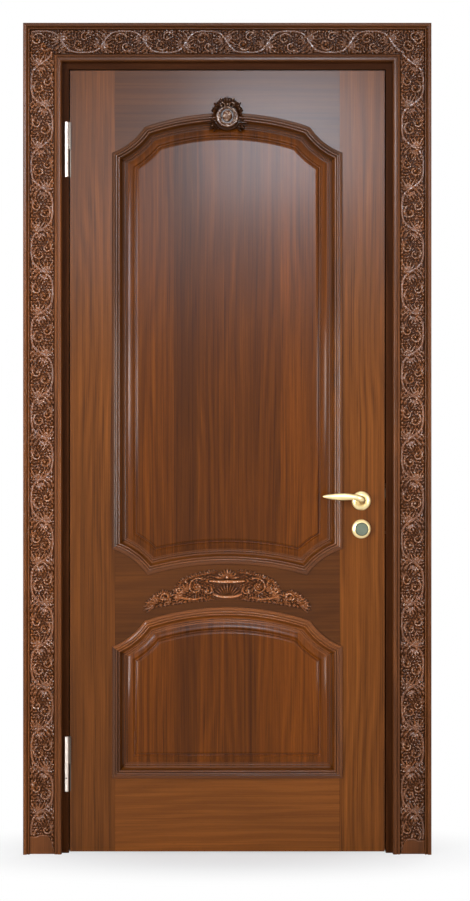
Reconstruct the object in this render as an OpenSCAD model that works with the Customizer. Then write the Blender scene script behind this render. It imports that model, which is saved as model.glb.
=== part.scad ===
// A carved, panelled timber door leaf hung in its frame, with lever handles, a turn bolt and lift-off hinges.
// Millimetres. Z is up, the front faces -Y, the origin is on the floor, in the middle of the leaf.

/* [Leaf] */

// width of the leaf
leaf_w = 806; // [760:1:900]
// height of the leaf
leaf_h = 2000; // [1960:1:2100]
// thickness of the leaf
leaf_t = 44; // [42:1:50]
// gap between the leaf and the floor
floor_gap = 4; // [3:1:12]
// gap between the leaf and the jambs
side_gap = 3; // [3:0.1:4]
// width of each stile
stile_w = 115; // [112:1:122]

/* [Panels] */

// distance from the top of the leaf to the arch apex of the upper panel
top_margin = 109; // [90:1:130]
// rise of the arch of the upper panel
up_rise = 36; // [28:1:44]
// height of the lower tips of the upper panel
up_foot = 775; // [760:1:790]
// height of the foot of the upper panel at its middle
up_sill = 736; // [730:1:742]
// rise of the foot of the upper panel
foot_rise = 28; // [22:1:34]
// height of the arch apex of the lower panel
low_apex = 626; // [615:1:634]
// rise of the arch of the lower panel
low_rise = 35; // [28:1:42]
// height of the straight foot of the lower panel
low_foot = 188; // [170:1:210]
// half width of each arch
arch_half = 212; // [200:1:222]
// drop of each shoulder from the arch to its tip
shoulder_drop = 66; // [58:1:74]
// radius of the scooped shoulders
shoulder_r = 170; // [150:1:220]

/* [Mouldings] */

// width by which a moulding covers the frame of the leaf
cover = 7; // [6:0.5:8]
// width of a moulding
mould_w = 39; // [37:0.5:42]
// width of the bevel of a panel
bevel_w = 22; // [16:1:28]
// depth of the panel margin below the face of the leaf
margin_depth = 10; // [8:0.5:11]
// how far the raised field of a panel lies below the face of the leaf
field_depth = 0.5; // [0.3:0.1:2]
// joint between mitred lengths
joint = 0.1; // [0.06:0.02:0.3]

/* [Frame] */

// depth of the jambs
jamb_d = 100; // [92:1:104]
// thickness of the jambs
jamb_t = 40; // [36:1:50]
// how far the stop reaches past the rebate
stop_w = 15; // [13:1:18]
// room between the leaf and the stop, for the seal
seal_gap = 3; // [2.5:0.5:4]
// distance from the edge of the leaf to the casing
reveal = 20; // [19:0.5:24]
// diameter of the fixing holes in the jambs
fix_d = 8; // [5:0.5:10]
// height of the lowest fixing hole
fix_low = 250; // [200:10:300]
// distance from the head of the frame to the highest fixing hole
fix_top = 257; // [200:1:400]
// share of the way between those two at which the middle fixing holes lie, from either end
fix_share = 0.3; // [0.2:0.05:0.4]

/* [Casing] */

// width of the casing
casing_w = 98; // [94:1:104]
// thickness of the casing at its outer bead
casing_t = 26; // [24:0.5:30]
// depth of the carved ground below the outer bead
ground_depth = 11; // [9:0.5:12]
// length of half a wave of the vine
wave = 104; // [94:1:112]
// height of the plain foot of the casing
casing_foot = 33; // [25:1:45]

/* [Hinges] */

// radius of the hinge barrel
barrel_r = 6.2; // [5.8:0.1:6.4]
// length of the hinge barrel
barrel_h = 140; // [120:1:160]
// distance from the top of the leaf to the middle of the upper hinge
hinge_top = 203; // [150:1:300]
// height of the middle of the lower hinge above the leaf's foot
hinge_low = 225; // [180:1:320]
// radius of the hinge pin
pin_r = 3; // [2.5:0.1:3.4]
// radial clearance of the pin in the leaf half
pin_fit = 0.05; // [0.03:0.01:0.09]
// thickness of the hinge plates
flap_t = 2.5; // [2:0.1:3]

/* [Lock] */

// distance of the lever axis from the edge of the leaf
backset = 60; // [58:1:62]
// height of the lever axis above the leaf's foot
lever_z = 898; // [880:1:912]
// distance between the lever axis and the turn axis
lock_pitch = 72; // [72:1:80]
// side of the lever spindle
spindle = 8; // [7:0.5:9]
// side of the turn spindle
turn_spindle_w = 6; // [5:0.5:7]
// diameter of the roses
rose_d = 49; // [44:1:54]
// thickness of the roses
rose_t = 8; // [6:0.5:10]
// distance from the face of the leaf to the middle of the grip
grip_out = 52; // [48:1:53]
// length of the grip
grip_l = 104; // [90:1:115]
// largest radius of the grip
grip_r = 9.5; // [8:0.5:9.5]
// height of the grip above the lever axis
grip_up = 14; // [10:0.5:16]
// diameter of the turn knob
knob_d = 34; // [30:1:40]
// how far the turn knob stands out
knob_out = 28; // [25:1:34]
// clearance of parts that are set into others
clear = 0.2; // [0.15:0.05:0.3]

/* [Hidden] */

$fn = 48;
hl = leaf_w / 2;
lt = leaf_t / 2;
z0 = floor_gap;
up_apex = leaf_h - top_margin;
// outline of the mouldings: half width
mh = hl - stile_w + cover;
// rebate face of the jambs, inner edge of the casing
rx = hl + side_gap;
cx = hl + reveal;
rz = z0 + leaf_h + side_gap;
cz = z0 + leaf_h + reveal;
jy = jamb_d - lt;
sy = lt + seal_gap;
// hinge pin
px = -hl - barrel_r - 2.3;
py = -lt - barrel_r - 0.3;
hinge_mid = [z0 + leaf_h - hinge_top, z0 + hinge_low];
// lock axes
kx = hl - backset;
kz = z0 + lever_z;
tz = kz - lock_pitch;
latch_arm = 19;
turn_arm = 14.14;
latch_z = kz + latch_arm;
bolt_z = tz + 12;
face_t = 3;
case_w = 87;
case_t = 15;
case_low = kz - 113;
case_h = 165;
face_low = kz - 148;
face_h = 235;
tongue = 12;

// front view: drawn in X and Z, raised towards the viewer
module front() {
    rotate([90, 0, 0]) children();
}

function mid_of(p, q) = (p + q) / 2;
// centre of the circle of radius r through p and q, to the left of the way from p to q when s is 1
function centre_of(p, q, r, s) =
    let (d = q - p, l = norm(d), k = sqrt(r * r - l * l / 4))
    mid_of(p, q) + s * k * [-d[1], d[0]] / l;
// crossing of two circles
function crossing(a, ra, b, rb) =
    let (d = norm(b - a), u = (b - a) / d)
    let (k = (ra * ra - rb * rb + d * d) / (2 * d), h = sqrt(ra * ra - k * k))
    a + k * u + h * [-u[1], u[0]];
// radius of an arc from its half chord and rise
function arc_r(c, rise) = (c * c + rise * rise) / (2 * rise);
function angle_at(c, p) = atan2(p[1] - c[1], p[0] - c[0]);
// the turn from one angle to another, the short way
function turn(a, b) = let (d = b - a) d > 180 ? d - 360 : d < -180 ? d + 360 : d;
function arc_points(c, p, q, n) =
    let (a = angle_at(c, p), t = turn(a, angle_at(c, q)), r = norm(p - c))
    [for (i = [1 : n - 1]) c + r * [cos(a + t * i / n), sin(a + t * i / n)]];

// outlines of the panels: 0 is the upper one, 1 the lower one
function apex(k) = z0 + (k == 0 ? up_apex : low_apex);
function rise(k) = k == 0 ? up_rise : low_rise;
function arch_end(k) = [-arch_half, apex(k) - rise(k)];
function tip(k) = [-mh, apex(k) - rise(k) - shoulder_drop];
function arch_radius(k) = arc_r(arch_half, rise(k));
function arch_centre(k) = [0, apex(k) - arch_radius(k)];
function shoulder_centre(k) = centre_of(tip(k), arch_end(k), shoulder_r, 1);
foot_end = [-arch_half + 8, z0 + up_sill - foot_rise];
foot_tip = [-mh, z0 + up_foot];
foot_radius = arc_r(arch_half - 8, foot_rise);
foot_centre = [0, z0 + up_sill - foot_radius];
scoop_centre = centre_of(foot_tip, foot_end, shoulder_r, -1);

// mitres of the outline moved in by d
function head_mitre(k, d) =
    crossing(shoulder_centre(k), shoulder_r + d, arch_centre(k), arch_radius(k) - d);
function side_mitre(k, d) =
    let (c = shoulder_centre(k), x = -mh + d)
    [x, c[1] - sqrt(pow(shoulder_r + d, 2) - pow(x - c[0], 2))];
function foot_mitre(d) = crossing(scoop_centre, shoulder_r + d, foot_centre, foot_radius + d);
function scoop_mitre(d) =
    let (x = -mh + d)
    [x, scoop_centre[1] + sqrt(pow(shoulder_r + d, 2) - pow(x - scoop_centre[0], 2))];
function square_mitre(d) = [-mh + d, z0 + low_foot + d];

function left_half(k, d) =
    let (m = head_mitre(k, d), s = side_mitre(k, d), top = [0, apex(k) - d])
    concat(
        [top], arc_points(arch_centre(k), top, m, 5),
        [m], arc_points(shoulder_centre(k), m, s, 5), [s],
        k == 1
            ? [square_mitre(d), [0, z0 + low_foot + d]]
            : let (a = scoop_mitre(d), b = foot_mitre(d), low = [0, z0 + up_sill + d])
                concat(
                    [a], arc_points(scoop_centre, a, b, 5),
                    [b], arc_points(foot_centre, b, low, 5), [low]
                )
    );
function outline(k, d) =
    let (l = left_half(k, d), n = len(l))
    concat(l, [for (i = [n - 2 : -1 : 1]) [-l[i][0], l[i][1]]]);

// a solid through rings of equal length, the first and last closed
module loft(rings) {
    n = len(rings[0]);
    m = len(rings);
    points = [for (r = rings) for (p = r) p];
    sides = [
        for (j = [0 : m - 2])
            for (i = [0 : n - 1])
                let (a = j * n + i, b = j * n + (i + 1) % n)
                each [[a, b, b + n], [a, b + n, a + n]]
    ];
    first = [[for (i = [n - 1 : -1 : 0]) i]];
    last = [[for (i = [0 : n - 1]) (m - 1) * n + i]];
    polyhedron(points = points, faces = concat(first, sides, last), convexity = 8);
}

function flat_ring(k, d, h) = [for (p = outline(k, d)) [p[0], p[1], h]];

module panel(k) {
    b0 = mould_w + 1.5;
    b1 = b0 + bevel_w;
    hm = lt - margin_depth;
    front() loft([
        flat_ring(k, b1, lt - field_depth),
        flat_ring(k, b1, lt - field_depth - 2.5),
        flat_ring(k, b0, hm),
        flat_ring(k, cover + 1.5, hm),
        flat_ring(k, cover + 1.5, 6),
        flat_ring(k, cover - 10, 6),
        flat_ring(k, cover - 10, -6),
        flat_ring(k, cover + 1.5, -6),
        flat_ring(k, cover + 1.5, -hm),
        flat_ring(k, b0, -hm),
        flat_ring(k, b1, -lt + field_depth + 2.5),
        flat_ring(k, b1, -lt + field_depth),
    ]);
}

// section of a moulding: distance from its outer edge, height above the face of the leaf
function bead(c, r, n) = [for (i = [0 : n]) c + r * [cos(180 - 180 * i / n), sin(180 - 180 * i / n)]];
function cove(c, r, n) = [for (i = [0 : n]) c + r * [cos(180 + 90 * i / n), sin(180 + 90 * i / n)]];
mu = mould_w / 39;
section = concat(
    [[0, 0]],
    bead(mu * [3.3, 4], 3.3 * mu, 6),
    bead(mu * [12.3, 8], 5 * mu, 8),
    bead(mu * [20.9, 6.5], 2.6 * mu, 5),
    cove(mu * [37, 5.5], 12.7 * mu, 5),
    [[mould_w, -7.2 * mu], [mould_w, -margin_depth], [cover + mu, -margin_depth], [cover + mu, 0]]
);

steps = mu * [-3, 0, 8, 16, 24, 32, 42];
far = 60 * mu;

// a prism of the front view that keeps what lies in a region
module keep(region) {
    translate([0, 0, -lt]) linear_extrude(3 * leaf_t) polygon(region);
}

// the section swept along a circle, s is 1 where the moulding lies outside the circle
module swept(c, r, s, from, span) {
    translate([c[0], c[1], lt])
        rotate([0, 0, from])
            rotate_extrude(angle = span, $fn = 360)
                polygon([for (p = section) [r + s * p[0], p[1]]]);
}

module whole_arch(k) {
    c = arch_centre(k);
    a = angle_at(c, arch_end(k));
    inner = [for (d = steps) head_mitre(k, d) + [joint / 2, 0]];
    other = [for (i = [len(inner) - 1 : -1 : 0]) [-inner[i][0], inner[i][1]]];
    intersection() {
        swept(c, arch_radius(k), -1, 180 - a - 6, 2 * a - 168);
        keep(concat(inner, other, [[0, apex(k) + far]]));
    }
}

module shoulder(k) {
    c = shoulder_centre(k);
    a = angle_at(c, tip(k));
    b = angle_at(c, arch_end(k));
    p = [for (d = steps) side_mitre(k, d) + [0, joint / 2]];
    q = [for (i = [len(steps) - 1 : -1 : 0]) head_mitre(k, steps[i]) - [joint / 2, 0]];
    m = (a + b) / 2;
    out = c + (shoulder_r + mould_w + far) * [cos(m), sin(m)];
    intersection() {
        swept(c, shoulder_r, 1, a - 8, b - a + 24);
        keep(concat(p, [out], q));
    }
}

module scoop() {
    c = scoop_centre;
    a = angle_at(c, foot_tip);
    b = angle_at(c, foot_end);
    p = [for (d = steps) scoop_mitre(d) - [0, joint / 2]];
    q = [for (i = [len(steps) - 1 : -1 : 0]) foot_mitre(steps[i]) - [joint / 2, 0]];
    m = (a + b) / 2;
    out = c + (shoulder_r + mould_w + far) * [cos(m), sin(m)];
    intersection() {
        swept(c, shoulder_r, 1, b - 16, a - b + 24);
        keep(concat(p, [out], q));
    }
}

module foot_bow() {
    c = foot_centre;
    b = angle_at(c, foot_end);
    p = [for (d = steps) foot_mitre(d) + [joint / 2, 0]];
    q = [for (i = [len(p) - 1 : -1 : 0]) [-p[i][0], p[i][1]]];
    intersection() {
        swept(c, foot_radius, 1, 180 - b - 5, 2 * b - 170);
        keep(concat(p, [[0, z0 + up_sill + mould_w + far]], q));
    }
}

module side_length(k) {
    p = [for (d = steps) side_mitre(k, d) - [0, joint / 2]];
    q = [
        for (i = [len(steps) - 1 : -1 : 0])
            (k == 0 ? scoop_mitre(steps[i]) : square_mitre(steps[i])) + [0, joint / 2]
    ];
    intersection() {
        translate([-mh, z0 + (k == 0 ? up_foot : low_foot) - far, lt])
            rotate([90, 0, 0])
                mirror([0, 0, 1])
                    linear_extrude(tip(k)[1] - z0 - (k == 0 ? up_foot : low_foot) + 2 * far) polygon(section);
        keep(concat(p, q));
    }
}

module straight_foot() {
    p = [for (d = steps) square_mitre(d) + [joint / 2, 0]];
    q = [for (i = [len(p) - 1 : -1 : 0]) [-p[i][0], p[i][1]]];
    intersection() {
        translate([-mh - far, z0 + low_foot, lt])
            rotate([90, 0, 90])
                linear_extrude(2 * mh + 2 * far) polygon(section);
        keep(concat(p, q));
    }
}

module mirrored() {
    children();
    mirror([1, 0, 0]) children();
}

// the same piece on the rear of the leaf
module rear() {
    mirror([0, 1, 0]) children();
}

module head_moulding(k) {
    front() {
        mirrored() shoulder(k);
        whole_arch(k);
    }
}

module foot_moulding(k) {
    front() {
        if (k == 0) {
            mirrored() scoop();
            foot_bow();
        } else {
            straight_foot();
        }
    }
}

module left_moulding(k) {
    front() side_length(k);
}

module right_moulding(k) {
    front() mirror([1, 0, 0]) side_length(k);
}

// carved relief: a ridge along points, with half widths and heights
module ridge(p, w, h, sink = 0.7) {
    n = len(p);
    side = [
        for (i = [0 : n - 1])
            let (a = p[max(0, i - 1)], b = p[min(n - 1, i + 1)], d = (b - a) / norm(b - a))
            [-d[1], d[0]]
    ];
    points = [
        for (i = [0 : n - 1])
            let (l = p[i] + w[i] * side[i], r = p[i] - w[i] * side[i])
            each [[l[0], l[1], -sink], [r[0], r[1], -sink], [p[i][0], p[i][1], h[i]]]
    ];
    faces = [
        for (i = [0 : n - 2])
            let (a = 3 * i, b = a + 3)
            each [
                [a, b, b + 2], [a, b + 2, a + 2],
                [a + 1, a + 2, b + 2], [a + 1, b + 2, b + 1],
                [a, a + 1, b + 1], [a, b + 1, b],
            ]
    ];
    m = 3 * n - 3;
    polyhedron(points = points, faces = concat(faces, [[0, 2, 1], [m, m + 1, m + 2]]), convexity = 6);
}

module leaf_lobe(a, b, w, h) {
    ridge([a, a + 0.45 * (b - a), b], [0.3 * w, w, 0.1], [0.6 * h, h, 0.25 * h]);
}

module blossom(c, r, h) {
    translate([c[0], c[1], -0.7])
        hull() {
            cylinder(r = r, h = 0.3 * h, $fn = 5);
            cylinder(r = 0.45 * r, h = h + 0.7, $fn = 5);
        }
}

// section of the casing: distance from the inner edge, height above the wall
band_in = 0.19 * casing_w;
band_out = 0.83 * casing_w;
band_mid = (band_in + band_out) / 2;
// the unit of the carving
vu = (band_out - band_in) / 60;
relief = ground_depth - 2;

// one bend of the vine: a scroll round a blossom, with leaves to both edges; s is the side of the stem
module bend(at, l, s) {
    c = [at, -4 * vu * s];
    spiral = [
        for (i = [0 : 6])
            let (a = 20 - 53 * i, r = vu * (13 + 17 * pow(1 - i / 6, 1.6)))
            c + r * [cos(a), s * sin(a)]
    ];
    ridge(spiral, [for (p = spiral) 3.4 * vu], [for (i = [0 : 6]) (0.75 + 0.03 * i) * relief]);
    blossom(c, 8 * vu, relief);
    leaf_lobe([at + 0.42 * l, 5 * vu * s], [at + 0.56 * l, 27 * vu * s], 5 * vu, 0.85 * relief);
    leaf_lobe([at + 0.55 * l, -6 * vu * s], [at + 0.45 * l, -27 * vu * s], 5 * vu, 0.85 * relief);
}

// the running vine over a length, starting with the stem on side s
module vine(from, to) {
    n = max(4, round((to - from) / wave));
    l = (to - from) / n;
    m = 4 * n;
    stem = [for (i = [0 : m]) [from + i * l / 4, 19 * vu * cos(45 * i)]];
    ridge(stem, [for (p = stem) 3.6 * vu], [for (p = stem) 0.8 * relief]);
    for (k = [0 : n - 1]) {
        bend(from + k * l, l, k % 2 == 0 ? 1 : -1);
    }
}

ground = casing_t - ground_depth;
cu = casing_w / 98;
casing_section = concat(
    [[0, 0], [0, casing_t - 9 * cu]],
    bead([4.5 * cu, casing_t - 9 * cu], 4.5 * cu, 6),
    [[10 * cu, casing_t - 8 * cu], [16 * cu, casing_t - 6 * cu]],
    [[band_in - cu, casing_t - 7 * cu], [band_in, ground]],
    [[band_out, ground], [band_out + cu, casing_t - 6 * cu]],
    [[casing_w - 12 * cu, casing_t - 4.5 * cu], [casing_w - 11 * cu, casing_t - 6.5 * cu]],
    bead([casing_w - 5 * cu, casing_t - 5 * cu], 5 * cu, 6),
    [[casing_w, 0]]
);

// a length of casing along X, its inner edge on X, raised in Z, kept inside a region
module casing_length(from, to, region, first, last) {
    intersection() {
        union() {
            translate([from, 0, 0])
                rotate([90, 0, 90])
                    linear_extrude(to - from) polygon(casing_section);
            translate([0, band_mid, ground]) {
                vine(first, last);
                blossom([first, 0], 12 * vu, relief);
                blossom([last, 0], 12 * vu, relief);
            }
        }
        translate([0, 0, -1]) linear_extrude(casing_t + 20) polygon(region);
    }
}

module casing_leg() {
    g = joint / 2;
    multmatrix([[0, -1, 0, -cx], [0, 0, -1, -lt], [1, 0, 0, 0], [0, 0, 0, 1]])
        casing_length(
            0, cz + casing_w,
            [[0, -1], [cz - 1 - g, -1], [cz + casing_w + 1 - g, casing_w + 1], [0, casing_w + 1]],
            casing_foot + 24 * vu, cz + band_mid
        );
}

module casing_top() {
    g = joint / 2;
    a = cx - 1 - g;
    b = cx + casing_w + 1 - g;
    multmatrix([[1, 0, 0, 0], [0, 0, -1, -lt], [0, 1, 0, cz], [0, 0, 0, 1]])
        casing_length(
            -cx - casing_w, cx + casing_w,
            [[-a, -1], [a, -1], [b, casing_w + 1], [-b, casing_w + 1]],
            -cx - band_mid, cx + band_mid
        );
}

// a box between two corners
module box(a, b) {
    translate(a) cube(b - a);
}

// a cylinder along Y
module rod(x, z, r, from, to) {
    translate([x, to, z]) rotate([90, 0, 0]) cylinder(r = r, h = to - from);
}

// stop of the jambs: middle of the seal, measured from the rebate
seal_in = 9;
kerf = 3.2;
kerf_d = 6.2;

// plan of a jamb, the rebate face on the Y axis and the leaf to the right
jamb_plan = [
    [-jamb_t, -lt], [0, -lt], [0, sy],
    [seal_in - kerf / 2, sy], [seal_in - kerf / 2, sy + kerf_d],
    [seal_in + kerf / 2, sy + kerf_d], [seal_in + kerf / 2, sy],
    [stop_w, sy], [stop_w, jy], [-jamb_t, jy],
];
fix_y = sy + 28;
fix_high = rz - fix_top;
fix_span = fix_high - fix_low;
fixings = [fix_low, fix_low + fix_share * fix_span, fix_high - fix_share * fix_span, fix_high];

module jamb() {
    difference() {
        translate([-rx, 0, 0]) linear_extrude(rz) polygon(jamb_plan);
        for (z = fixings) {
            translate([-rx - jamb_t - 1, fix_y, z])
                rotate([0, 90, 0])
                    cylinder(d = fix_d, h = jamb_t + stop_w + 2);
        }
        children();
    }
}

flap_y = lt - 12;

module hinge_jamb() color("sienna") {
    jamb() {
        for (m = hinge_mid) {
            box(
                [-rx - flap_t, -lt - 1, m - barrel_h / 2 - clear],
                [-rx + 1, flap_y + clear, m + barrel_h / 2 + clear]
            );
        }
    }
}

strike_t = 2.5;
strike_low = bolt_z - 30;
strike_high = latch_z + 30;

module lock_jamb() color("sienna") {
    mirror([1, 0, 0]) jamb() {
        box([-rx - strike_t, -12 - clear, strike_low - clear], [-rx + 1, 12 + clear, strike_high + clear]);
        box([-rx - 16, -7.5, latch_z - 14], [-rx, 7.5, latch_z + 14]);
        box([-rx - 24, -7.5, bolt_z - 12], [-rx, 7.5, bolt_z + 12]);
    }
}

module head_jamb() color("sienna") {
    l = rx + jamb_t;
    s = rx - stop_w;
    k = rz - seal_in;
    box([-l, -lt, rz], [l, jy, rz + jamb_t]);
    difference() {
        box([-s, sy, rz - stop_w], [s, jy, rz + 1]);
        box([-s - 1, sy - 1, k - kerf / 2], [s + 1, sy + kerf_d, k + kerf / 2]);
    }
}

module seal_length(l) {
    linear_extrude(l) polygon([
        [seal_in - 4, lt + 0.3], [seal_in + 4, lt + 0.3], [seal_in + 4, sy], [seal_in + 1.5, sy],
        [seal_in + 1.5, sy + 6], [seal_in - 1.5, sy + 6], [seal_in - 1.5, sy], [seal_in - 4, sy],
    ]);
}

module frame_seal() color("dimgray") {
    s = rx - stop_w - 0.5;
    mirrored() translate([-rx, 0, 0]) seal_length(rz - 1);
    translate([-s, 0, rz]) rotate([0, 90, 0]) seal_length(2 * s);
}

module strike_plate() color("goldenrod") {
    difference() {
        box([rx, -12, strike_low], [rx + strike_t, 12, strike_high]);
        box([rx - 1, -6.5, latch_z - 13], [rx + 4, 6.5, latch_z + 13]);
        box([rx - 1, -6.5, bolt_z - 11], [rx + 4, 6.5, bolt_z + 11]);
    }
}

module casing_left() color("saddlebrown") {
    casing_leg();
}

module casing_right() color("saddlebrown") {
    mirror([1, 0, 0]) casing_leg();
}

module casing_head() color("saddlebrown") {
    casing_top();
}

// inner edge of the stiles
sx = hl - stile_w;
groove = tongue + 0.2;

module stile() {
    difference() {
        translate([0, 0, z0])
            linear_extrude(leaf_h)
                polygon([
                    [-hl, -lt], [-sx, -lt], [-sx, -6.1], [-sx - groove, -6.1],
                    [-sx - groove, 6.1], [-sx, 6.1], [-sx, lt], [-hl, lt],
                ]);
        children();
    }
}

module hinge_stile() color("peru") {
    stile() {
        for (m = hinge_mid) {
            box(
                [-hl - 1, -lt - 1, m - barrel_h / 2 - clear],
                [-hl + flap_t, flap_y + clear, m + barrel_h / 2 + clear]
            );
        }
    }
}

module lock_stile() color("peru") {
    mirror([1, 0, 0]) stile() {
        box([-hl - 1, -10 - clear, face_low - clear], [-hl + face_t, 10 + clear, face_low + face_h + clear]);
        box(
            [-hl, -case_t / 2 - clear, case_low - clear],
            [-hl + face_t + case_w + clear, case_t / 2 + clear, case_low + case_h + clear]
        );
        rod(-kx, kz, 11, -lt - 1, lt + 1);
        rod(-kx, tz, 9, -lt - 1, lt + 1);
    }
}

// lower edge of a rail over panel k, from left to right
function head_edge(k) =
    let (l = left_half(k, cover))
    concat([for (i = [10 : -1 : 0]) l[i]], [for (i = [1 : 10]) [-l[i][0], l[i][1]]]);
// upper edge of the lock rail, from right to left
function foot_edge() =
    let (l = left_half(0, cover))
    concat([for (i = [11 : 21]) [-l[i][0], l[i][1]]], [for (i = [20 : -1 : 11]) l[i]]);

// a rail of the leaf from its front view, grooved for the panels, with tongues between two heights
module rail(shape, low, high) {
    front() {
        difference() {
            translate([0, 0, -lt]) linear_extrude(leaf_t) polygon(shape);
            children();
        }
    }
    box([-sx - tongue + 0.5, -6, low], [-sx + 0.01, 6, high]);
    box([sx - 0.01, -6, low], [sx + tongue - 0.5, 6, high]);
}

module panel_groove(k) {
    translate([0, 0, -6.1]) linear_extrude(12.2) polygon(outline(k, cover - groove));
}

module top_rail() color("peru") {
    t = z0 + leaf_h;
    shape = concat(head_edge(0), [[sx, t], [-sx, t]]);
    rail(shape, side_mitre(0, cover - groove)[1] + 3, t - 4) panel_groove(0);
}

module lock_rail() color("peru") {
    rail(
        concat(head_edge(1), foot_edge()),
        side_mitre(1, cover - groove)[1] + 3, scoop_mitre(cover - groove)[1] - 3
    ) {
        panel_groove(0);
        panel_groove(1);
    }
}

module bottom_rail() color("peru") {
    t = z0 + low_foot + cover;
    rail([[-sx, z0], [sx, z0], [sx, t], [-sx, t]], z0 + 4, t - groove - 3) panel_groove(1);
}

module upper_panel() color("burlywood") {
    panel(0);
}

module lower_panel() color("burlywood") {
    panel(1);
}

module upper_head_front() color("chocolate") {
    head_moulding(0);
}

module upper_left_front() color("chocolate") {
    left_moulding(0);
}

module upper_right_front() color("chocolate") {
    right_moulding(0);
}

module upper_foot_front() color("chocolate") {
    foot_moulding(0);
}

module lower_head_front() color("chocolate") {
    head_moulding(1);
}

module lower_left_front() color("chocolate") {
    left_moulding(1);
}

module lower_right_front() color("chocolate") {
    right_moulding(1);
}

module lower_foot_front() color("chocolate") {
    foot_moulding(1);
}

module upper_head_rear() color("chocolate") {
    rear() head_moulding(0);
}

module upper_left_rear() color("chocolate") {
    rear() left_moulding(0);
}

module upper_right_rear() color("chocolate") {
    rear() right_moulding(0);
}

module upper_foot_rear() color("chocolate") {
    rear() foot_moulding(0);
}

module lower_head_rear() color("chocolate") {
    rear() head_moulding(1);
}

module lower_left_rear() color("chocolate") {
    rear() left_moulding(1);
}

module lower_right_rear() color("chocolate") {
    rear() right_moulding(1);
}

module lower_foot_rear() color("chocolate") {
    rear() foot_moulding(1);
}

// crest: an oval boss in a lobed rim, set over the moulding at the apex of the upper panel
crest_w = 37;
crest_h = 42;
function crest_ring(s, h, lobe) = [
    for (i = [0 : 26])
        let (a = 40 * i / 3, f = s * (1 + lobe * cos(9 * a + 90)))
        [f * crest_w * cos(a), f * crest_h * sin(a), h * (1 + 0.6 * lobe * cos(9 * a + 90))]
];

module crest() color("saddlebrown") {
    front() translate([0, apex(0), lt])
        difference() {
            loft([
                crest_ring(0.08, 26, 0), crest_ring(0.25, 24, 0),
                crest_ring(0.38, 18, 0), crest_ring(0.42, 16, 0),
                crest_ring(0.56, 20, 0), crest_ring(0.66, 21, 0.02), crest_ring(0.8, 18.5, 0.06),
                crest_ring(0.98, 15.5, 0.07), crest_ring(1, 0, 0.07),
            ]);
            box([-60, -60, -1], [60, 0.4, 13.2]);
        }
}

// lock rail carving: a lobed plate following the arch of the lower panel
carve_half = 215;
ru = carve_half / 215;
carve_low = low_apex + 15 * ru;
function carve_foot(x) = z0 + carve_low - 14 * ru * pow(x / carve_half, 2);
function dip(x, at, w) = exp(-pow((abs(x) - at) / w, 2));
function carve_top(x) =
    let (u = x / ru, m = 1 / (1 + exp((abs(u) - 132) / 6)))
    carve_foot(x) + ru * (4 + m * (68 + 2 * cos(3 * u))
        + (1 - m) * 37 * max(0, 1 - pow(max(0, abs(u) - 162) / 53, 2)) - 13 * dip(u, 147, 7));
function carve_rise(x, t) =
    ru * (3 + 8 * pow(sin(180 * t), 0.6) + 1.5 * cos(8 * x / ru) * sin(180 * t));

module carve_plate() {
    n = 28;
    ts = [0, 0.25, 0.75, 1];
    xs = [for (i = [0 : n]) carve_half * (2 * i / n - 1)];
    loft([
        for (x = xs)
            let (a = carve_foot(x), b = carve_top(x))
            concat([[x, b, 0], [x, a, 0]], [for (t = ts) [x, a + (b - a) * t, carve_rise(x, t)]])
    ]);
}

// a C scroll round a point x along the rail and h above the foot, with a falling radius, round a blossom
module scroll(x, h, r0, r1, from, span, w, rise, eye) {
    n = 6;
    c = [ru * x, carve_foot(ru * x) + ru * h];
    path = [
        for (i = [0 : n])
            let (a = from + span * i / n, r = ru * (r0 + (r1 - r0) * i / n))
            c + r * [cos(a), sin(a)]
    ];
    ridge(path, [for (p = path) ru * w], [for (p = path) ru * rise], 3 * ru);
    blossom(c, ru * eye, ru * rise);
}

module carve_side() {
    translate([0, 0, 9 * ru]) {
        scroll(80, 36, 27, 11, 200, -320, 4, 6, 8);
        scroll(120, 20, 15, 6, 90, -330, 3.2, 5, 5);
        scroll(168, 17, 16, 7, 170, -300, 3.2, 5, 6);
        for (i = [0 : 1]) {
            a = ru * (10 + 18 * i);
            blossom([a, carve_foot(a) + ru * (58 - i)], 6 * ru, 5 * ru);
        }
        for (i = [0 : 2]) {
            a = ru * (184 + 9 * i);
            z = carve_foot(a);
            leaf_lobe([a - 6 * ru, z + 4 * ru], [a + 8 * ru, z + ru * (15 - 5 * i)], 3 * ru, 4 * ru);
        }
    }
}

module rail_carving() color("saddlebrown") {
    front() translate([0, 0, lt])
        union() {
            carve_plate();
            mirrored() carve_side();
            for (i = [-3 : 3]) {
                p = [0, carve_foot(0) + 14 * ru];
                d = ru * [sin(20 * i), cos(20 * i)];
                translate([0, 0, 9 * ru]) leaf_lobe(p + 7 * d, p + [34 * d[0], 28 * d[1]], 3 * ru, 6 * ru);
            }
        }
}

// hinges: the jamb half carries the lower half of the barrel and the pin, the leaf half the upper one
module hinge_bore(m) {
    translate([px, py, m - barrel_h / 2 + 5]) cylinder(r = pin_r + pin_fit, h = barrel_h - 10);
}

module jamb_half(m) {
    difference() {
        union() {
            box([-rx - flap_t, -lt, m - barrel_h / 2], [-rx, flap_y, m + barrel_h / 2]);
            box([-rx - flap_t, py + 1, m - barrel_h / 2], [-rx, -lt + 0.5, m - 0.15]);
            translate([px, py, m - barrel_h / 2]) cylinder(r = barrel_r, h = barrel_h / 2 - 0.15);
        }
        hinge_bore(m);
    }
}

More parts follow.
